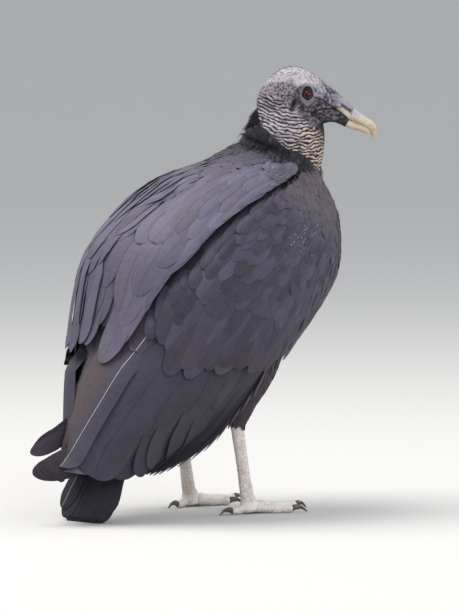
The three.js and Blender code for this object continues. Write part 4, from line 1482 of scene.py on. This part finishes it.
# the wing: small coverts at its front, then the middle and greater ones
coverEnd = through([0, 0.62], [0.12, 0.63], [0.2, 0.69], [0.3, 0.67], [0.45, 0.625], [0.6, 0.61],
                   [0.7, 0.59], [0.85, 0.6], [1, 0.75])
wingLook = {
    "length": through([-0.03, 12], [0.1, 20], [0.3, 30], [0.6, 44], [0.8, 56], [1, 78]),
    "half": through([-0.03, 3.2], [0.1, 4.2], [0.3, 5.6], [0.6, 7.8], [0.8, 10], [1, 12.5]),
    "step": through([-0.03, 0.024], [0.1, 0.032], [0.3, 0.044], [0.6, 0.068], [0.8, 0.09], [1, 0.12]),
    "spacing": 1.0, "jitter": 0.4, "stray": 0.012, "shallow": 0.4, "rows": 12, "ring": 6,
    "deep": through([-0.03, 1.2], [0.3, 2.2], [0.8, 3.4]),
    "blunt": 0.62, "thick": 0.18, "ragged": 0.06, "room": 190,
}
# tips of the largest coverts: place (u, w), half width and length
coverTips = [
    (0.630, 0.120, 13, 66), (0.690, 0.183, 12, 76), (0.687, 0.233, 12, 74), (0.673, 0.283, 12, 72),
    (0.653, 0.356, 12, 70), (0.640, 0.405, 12, 66), (0.624, 0.451, 12, 66), (0.624, 0.520, 12, 62),
    (0.624, 0.594, 12, 60), (0.594, 0.692, 11, 54), (0.546, 0.228, 11, 52), (0.472, 0.291, 9, 40),
    (0.513, 0.191, 10, 46), (0.634, 0.346, 10, 50), (0.42, 0.24, 8, 34),
]


def coverts(side):
    def at(f, w, inset):
        # f runs from the wing's front edge to the tips of the greater coverts
        wrap = 9 * (1 - smooth(f, -0.03, 0.05)) * (1 - 0.8 * smooth(w, 0.55, 0.8))
        wrap = wrap - 6 * smooth(w, 0.6, 0.85)
        wrap = wrap + 2.5 * (1 - smooth(w, 0.5, 0.7)) * (1 - smooth(f, 0.05, 0.25))
        return wingSurface(side)(f * coverEnd(w), w, inset + wrap)
    return at


def thinned(at):
    # thins the rows where they run together at the wing's lower edge
    def keep(f, w):
        room = np.linalg.norm(at(np.ones_like(w), w, 0) - at(np.zeros_like(w), w, 0), axis=-1)
        return rng.random(len(w)) < room / wingLook["room"]
    return keep


def wingZone(side):
    # worn at the front edge, with painted shadow in the gap beside the cape
    def zone(f, w):
        wearAndSheen = smooth(-f, -0.35, 0.0) * 0.75
        t, phi = wingPlace(f * coverEnd(w), w)
        capeShadow = -0.95 * bell(np.maximum(phi - capeEdge[side](t), 0), 7) * (t > 0.3)
        return np.stack([0.1 + 0.3 * rng.random(len(w)), wearAndSheen, capeShadow], -1)
    return zone


for side in ("left", "right"):
    coat = Coat(f"wing_coverts_{side}")
    at = coverts(side)
    tract(coat, at, between(-0.02, 0.82, wingLook["step"]) + [0.9, 1.0], lambda f: (0.0, 0.99), wingLook,
          keep=thinned(at), zone=wingZone(side), toTip=1)
    u, w, half, length = np.array(coverTips, float).T
    largest(coat, wingSurface(side), u, w, 1.0, half, length, -0.2, [0.15, 0.15, 0.0])
    coat.build(coatMaterial, [f"wing_{side}"])

# flight feathers, each by the places (t, phi) of its shaft, half widths to its two sides and depth
secondaries = {
    "A": {"line": [(0.347, 34), (0.31, 31), (0.195, 21), (0.11, 18), (0.005, 12), (-0.072, 4)],
          "half": 29, "depth": 0.3},
    "B": {"line": [(0.347, 50), (0.203, 46), (0.068, 50), (-0.038, 62)], "half": 25, "depth": 1.8},
    "C": {"line": [(0.38, 66), (0.227, 64), (0.088, 75), (0.005, 88)], "half": 24, "depth": 3.0},
    "D": {"line": [(0.415, 78), (0.245, 82), (0.12, 98), (0.065, 130)], "half": 22, "depth": 4.2},
    "D2": {"line": [(0.435, 88), (0.28, 88), (0.155, 99), (0.095, 130)], "half": 22, "depth": 5.2},
    "E": {"line": [(0.53, 103), (0.38, 102), (0.28, 108), (0.172, 132)], "half": 21, "depth": 6.2},
    "F": {"line": [(0.55, 116), (0.415, 115), (0.33, 114), (0.242, 140)], "half": 19, "depth": 7.0},
    "G": {"line": [(0.6, 130), (0.477, 129), (0.39, 127), (0.292, 137)], "half": 17, "depth": 7.8},
    "H": {"line": [(0.627, 134), (0.522, 126), (0.435, 130), (0.36, 135)], "half": 14, "depth": 8.4},
}
# how far back the feathers along the wing's lower edge reach, and how far out they stand
lowerEdge = through([0.42, 0.98], [0.55, 1.03], [0.63, 1.07], [0.7, 1.13], [0.76, 1.18], [0.82, 1.22],
                    [0.9, 1.25], [1, 1.25])
lowerSwell = through([0.42, 6], [0.6, 5], [0.72, -1], [0.85, -5], [1, -4])
flight = {"rows": 26, "rootDepth": 3.5, "thick": 0.4, "sunkDepth": 6.0, "lowerCount": 19}


def shaftPath(line):
    return path(*[(t, phi, 0) for t, phi in line])


names = list(secondaries)
for before, after in zip(names[4:], names[5:]):
    # a feather half way between each two of the outer ones
    first, last = secondaries[before], secondaries[after]
    lines = [shaftPath(feather["line"])(np.linspace(0, 1, 5)) for feather in (first, last)]
    middle = mix(*lines, 0.5)
    secondaries[before + after] = {
        "line": [(t, phi) for t, phi, _ in middle],
        "half": (first["half"] + last["half"]) / 2,
        "depth": (first["depth"] + last["depth"]) / 2,
    }

for side in ("left", "right"):
    coat = Coat(f"secondaries_{side}")
    surface = flightSurface(side)
    for name, feather in secondaries.items():
        # of the two innermost feathers, the right one lies on top and the left one is sunk, its pale lilac a
        # painted sheen of its face seen edge-on
        onTop = name == "A" and side == "right"
        wearAndSheen = name == "A" and side == "left"
        s = rowsOf(flight["rows"], 0.8)
        places = shaftPath(feather["line"])(s)
        t, phi = places[None, :, 0], places[None, :, 1]
        inset = feather["depth"] + flight["rootDepth"] * (1 - s) + (flight["sunkDepth"] if wearAndSheen else 0.0)
        half = feather["half"] * outline(s, 0.86 if name == "A" else 0.8, 0.25)
        root = bakeRoot(surface(places[:1, 0], places[:1, 1], 0))
        # the hidden vane of the one on top is browner than the one in the light
        brown = np.where(np.array(sections[6]["across"]) < 0, 1.0, 0.1) if onTop else np.full(6, 0.08)
        # the sunk left one gets pale lilac as painted sheen
        zone = np.stack([np.full(6, 0.9 if wearAndSheen else 0.15), brown, np.full(6, 0.08 if wearAndSheen else 0)], -1)
        coat.add(surface, t, phi, inset[None], half[None], [rng.random()],
                 np.broadcast_to(zone, (1, len(s), 6, 3)), thick=flight["thick"], ring=6, ragged=0.03,
                 root=root, patch=0.02, cup=1.2, skew=-0.5 * onTop)
        # its shaft
        coat.add(surface, t, phi, inset[None] - 0.25, np.linspace(0.52, 0.14, len(s))[None], [0.5],
                 [[0.0, 0.3, 0.9 if onTop else 0.0]], thick=0.4, ragged=0, root=root, patch=0.01)
    # more feathers fill in the wing's lower edge
    count = flight["lowerCount"]
    w = np.linspace(0.42, 0.965, count)
    s = rowsOf(22, 0.86)
    surface = wingSurface(side)
    half = np.linspace(13, 9, count)[:, None] * outline(s, 0.86, 0.25)[None]
    coat.add(surface, mix(0.4, lowerEdge(w)[:, None], s[None]), w[:, None] + 0 * s[None],
             mix(10.0, lowerSwell(w)[:, None], s[None]), half, rng.random(count),
             np.tile([0.12, 0.08, -0.1], (count, 1)), thick=flight["thick"], ring=6, ragged=0.03,
             root=bakeRoot(surface(np.full(count, 0.4), w, 0)), patch=0.02, cup=1.0)
    coat.build(coatMaterial)

# the long hand feathers, one below another, and the radius they curl to
handReach = (1.0, 0.975, 0.95, 0.92)
handCurl = 110
handLook = {
    "right": {"t": [0.42, 0.25, 0.08], "phi": [104, 86, 58], "inset": [19.5, 18, 14],
              "ends": [(-186, -4, 57), (-222, 10, 49)], "zone": (0.0, 0.35, -0.45), "half": 12.5},
    "left": {"t": [0.42, 0.25], "phi": [104, 86], "inset": [19.5, 18],
             "ends": [(-150, 26, 90), (-182, 27, 74), (-211, 28, 66)], "zone": (0.35, 0.35, 0.0),
             "half": 8.5},
}
for side, sign in sides.items():
    hand = handLook[side]
    stops = [bodyPoint(t, sign * phi, inset) for t, phi, inset in zip(hand["t"], hand["phi"], hand["inset"])]
    outward = [unit(stop - bodyPoint(t, sign * phi, inset + 5))
               for stop, t, phi, inset in zip(stops, hand["t"], hand["phi"], hand["inset"])]
    spine = path(*stops, *hand["ends"])
    lean = path(*outward, *[outward[-1]] * len(hand["ends"]))

    def handAt(a, b, inset, spine=spine, lean=lean, sign=sign):
        a, b, inset = np.broadcast_arrays(a, b, inset)
        ahead = unit(spine(np.minimum(a + 0.01, 1)) - spine(np.minimum(a, 0.99) - 0.01))
        out = unit(lean(a))
        across = sign * unit(np.cross(ahead, out))
        return spine(a) + across * b[..., None] - out * (inset + b * b / handCurl)[..., None]

    coat = Coat(f"primaries_{side}")
    s = rowsOf(22, 0.72)
    for k, reach in enumerate(handReach):
        coat.add(handAt, s[None] * reach, np.full((1, len(s)), float(k)), np.full((1, len(s)), 2.2 - k),
                 (hand["half"] * outline(s, 0.8, 0.2))[None], [rng.random()], [hand["zone"]],
                 thick=0.45, ring=6, ragged=0.03, root=bakeRoot(stops[0][None]), patch=0.02)
    coat.build(coatMaterial, [f"wingtip_{side}"])

# the tail
tail = {
    "root": (-126, 74), "knee": (-146, 42), "tip": (-164, -3), "length": 84, "corner": 17,
    "rootHalf": 14, "tipHalf": 43, "arch": 7, "feathers": 12, "half": 10.5, "sway": 8,
    "coverts": 11, "covertHalf": 9,
}
tailLine = path(*[(x, 0, z) for x, z in (tail["root"], tail["knee"], tail["tip"])])


def tailAt(u, aside, inset):
    u, aside, inset = np.broadcast_arrays(u, aside, inset)
    here = tailLine(u)
    ahead = unit(tailLine(np.minimum(u + 0.02, 1)) - tailLine(np.maximum(u - 0.02, 0)))
    back = np.stack([ahead[..., 2], 0 * u, -ahead[..., 0]], -1)
    here = here + back * (tail["arch"] * (aside ** 2 - 0.5) - inset + 1.5)[..., None]
    here[..., 1] += tail["sway"] * u + aside * mix(tail["rootHalf"], tail["tipHalf"], np.clip(u, 0, 1) ** 0.8)
    here[..., 2] = np.maximum(here[..., 2], 0.8)
    return here


coat = Coat("tail_feathers")
s = rowsOf(20, 0.8)
for k in range(tail["feathers"]):
    aside = (k + 0.5) / tail["feathers"] * 2 - 1
    reach = 1 - tail["corner"] / tail["length"] * aside ** 4
    coat.add(tailAt, s[None] * reach, np.full((1, 20), aside * 0.86), np.full((1, 20), 2.4 * abs(aside)),
             (tail["half"] * outline(s, 0.8, 0.2))[None], [rng.random()], [[0.0, 0.1, -0.35]],
             thick=0.4, ring=6, ragged=0.05, root=bakeRoot(tailAt(np.array([0.0]), np.array([aside]), 0)),
             patch=0.02)
# the coverts over its root
count = tail["coverts"]
aside = np.linspace(-0.95, 0.95, count)
s = rowsOf(14, 0.7)
reach = 0.42 + 0.06 * rng.random((count, 1))
half = np.tile(tail["covertHalf"] * outline(s, 0.7, 0.3), (count, 1))
coat.add(tailAt, mix(-0.2, reach, s[None]), aside[:, None] + 0 * s[None],
         mix(2.0, -1.6, s)[None] + 0 * aside[:, None], half, rng.random(count),
         np.tile([0.0, 0.1, -0.3], (count, 1)), thick=0.3, ring=6,
         root=bakeRoot(tailAt(0 * aside, aside, 0)), cup=1.5)
# the pale shaft at its left side
coat.add(tailAt, np.linspace(0.1, 0.84, 14)[None], np.full((1, 14), 0.74), np.full((1, 14), -1.2),
         np.linspace(0.9, 0.3, 14)[None], [0.5], [[0.3, 0.1, 0.55]], thick=0.5, ragged=0,
         root=bakeRoot(tailAt(np.array([0.2]), np.array([0.8]), 0)))
coat.build(coatMaterial, ["tail"])

# the thighs
thighLook = {
    "length": through([0, 30], [0.6, 24], [1, 14]),
    "half": through([0, 5], [0.6, 3.6], [1, 2.2]),
    "step": through([0, 0.08], [0.6, 0.06], [1, 0.04]),
    "spacing": 1.2, "jitter": 0.45, "stray": 7.0, "deep": through([0, 3.0], [1, 2.0]), "shallow": 0.2,
    "rows": 7, "blunt": 0.35, "thick": 0.16, "ragged": 0.2, "lilac": 0.05, "brown": 0.5,
}


thighLength = 90


def thighAt(side):
    line = thighLine(side)

    def at(s, angle, inset):
        s, angle, inset = np.broadcast_arrays(s, np.radians(angle), inset)
        ahead = unit(line(np.minimum(s + 0.01, 1)) - line(np.minimum(s, 1) - 0.01))
        over = unit(np.cross(ahead, sideways))
        aside = np.cross(over, ahead)
        past = ahead * (np.maximum(s - 1, 0) * thighLength)[..., None]
        wide = (thighHalf(s) * 0.9 - inset) * np.cos(angle)
        high = (thighHalf(s) - inset) * np.sin(angle)
        return line(np.minimum(s, 1)) + past + aside * wide[..., None] + over * high[..., None]
    return at


coat = Coat("thigh_feathers")
for side in sides:
    tract(coat, thighAt(side), between(0.12, 1.05, thighLook["step"]), lambda s: (0, 360), thighLook, toTip=1)
coat.build(coatMaterial)


def skullPoint(s, angle, inset):
    s, angle, inset = np.broadcast_arrays(np.clip(s, 0.01, 0.99), np.radians(angle), inset)
    spot = skullShape(s.ravel(), angle.ravel()).reshape(*s.shape, 3)
    core = fromHead(np.array([-14.0, 0.0, -6.0]))
    return spot - unit(spot - core) * inset[..., None]


# fine barbs: the ruff round the bare neck, loose ends at the cape's corner, bristles and flecks
def barbs(coat, surface, a, b, da, db, look):
    # thin tapering barbs that start at a, b and run along da, db, rising out of the coat
    count = len(a)
    length = rng.uniform(*look["length"], count)
    width = rng.uniform(*look["width"], count)
    lift = rng.uniform(*look["lift"], count)
    step = runBack(surface, a, b, length, da, db)
    s = np.linspace(0, 1, look["rows"])[None]
    bow = rng.normal(0, 0.12, (count, 1)) * s ** 2
    aPath = a[:, None] + (da * step)[:, None] * s
    bPath = b[:, None] + (db * step)[:, None] * s + bow * np.abs(step)[:, None]
    inset = look["deep"] * (1 - s) - lift[:, None] * s ** 1.5
    half = width[:, None] / 2 * (1 - 0.85 * s)
    coat.add(surface, aPath, bPath, inset, half, rng.random(count) * 0.4, np.tile(look["zone"], (count, 1)),
             thick=0.1, ragged=0, curve=np.full((count, look["rows"], 1), float(flatBend)),
             root=bakeRoot(surface(a, b, 0)))


ruffLook = {
    "count": 4200, "reach": 19, "length": (8, 15), "width": (0.5, 1.1), "lift": (0.4, 5.5), "deep": 1.5,
    "stray": 60, "zone": [0.0, 0.12, -0.8], "rows": 5,
}
ruff = Coat("ruff")
angle = rng.uniform(-180, 180, ruffLook["count"])
below = ruffLook["reach"] * rng.random(ruffLook["count"]) ** 1.3 - 1
ladder = np.linspace(0, 1, 60)
edge = bareDistance(toHead(neckAt(ladder[None], angle[:, None], 0)))
s = np.array([np.interp(-offset, row, ladder) for offset, row in zip(below, edge)])
barbs(ruff, neckAt, s, angle, np.full(len(s), -1.0), rng.normal(0, ruffLook["stray"], len(s)), ruffLook)

# and where the bare skin ends on the breast
breastRuff = dict(ruffLook, count=9000, lift=(0.5, 4.5), deep=2.0)
t = rng.uniform(0.84, 1.06, breastRuff["count"])
phi = rng.uniform(-180, 180, breastRuff["count"])
bare = bareDistance(toHead(bareTrunk(t, phi, 0)))
chosen = (bare > -13) & (bare < 2)
t, phi = t[chosen], phi[chosen]
barbs(ruff, bareTrunk, t, phi, np.full(len(t), -1.0), rng.normal(0, breastRuff["stray"], len(t)), breastRuff)
print("   ruff on the breast", len(t))

# loose ends where the right flap meets the shoulder
looseEnds = {
    "count": 70, "length": (10, 22), "width": (0.5, 1.0), "lift": (0.4, 2.4), "deep": 0.0,
    "zone": [0.7, 0.0, 0.05], "rows": 5,
}
count = looseEnds["count"]
t = rng.uniform(0.82, 0.885, count)
w = rng.uniform(0.72, 1.0, count)
barbs(ruff, capeAt("right"), t, w, np.full(count, 1.0), rng.normal(1.2, 0.8, count), looseEnds)
ruff.build(coatMaterial)

# short bristles on the forehead and crown
bristleLook = {
    "count": 260, "length": (2.5, 5), "width": (0.16, 0.3), "lift": (0.8, 2.6), "deep": 0.3,
    "stray": 80, "zone": [0.0, 0.0, -0.9], "rows": 4,
}
count = bristleLook["count"]
bristles = Coat("bristles")
s = rng.uniform(0.25, 0.8, count)
angle = rng.uniform(35, 145, count)
stray = rng.normal(0, bristleLook["stray"], count)
barbs(bristles, skullPoint, s, angle, np.full(count, -1.0), stray, bristleLook)
bristles.build(coatMaterial)

# flecks of down and dust caught on the coverts
fleckLook = {
    "count": 26, "length": (1.0, 3.2), "width": (0.3, 0.8), "lift": (1.0, 1.5), "deep": -0.9,
    "zone": [0.0, 0.0, 0.8], "rows": 5,
}
count = fleckLook["count"]
flecks = Coat("flecks")
u = rng.normal(0.225, 0.025, count)
w = rng.normal(0.36, 0.035, count)
da = rng.normal(0, 1, count)
db = rng.normal(0, 1, count)
barbs(flecks, wingSurface("right"), u, w, da, db, fleckLook)
flecks.build(coatMaterial)


bpy.context.view_layer.update()
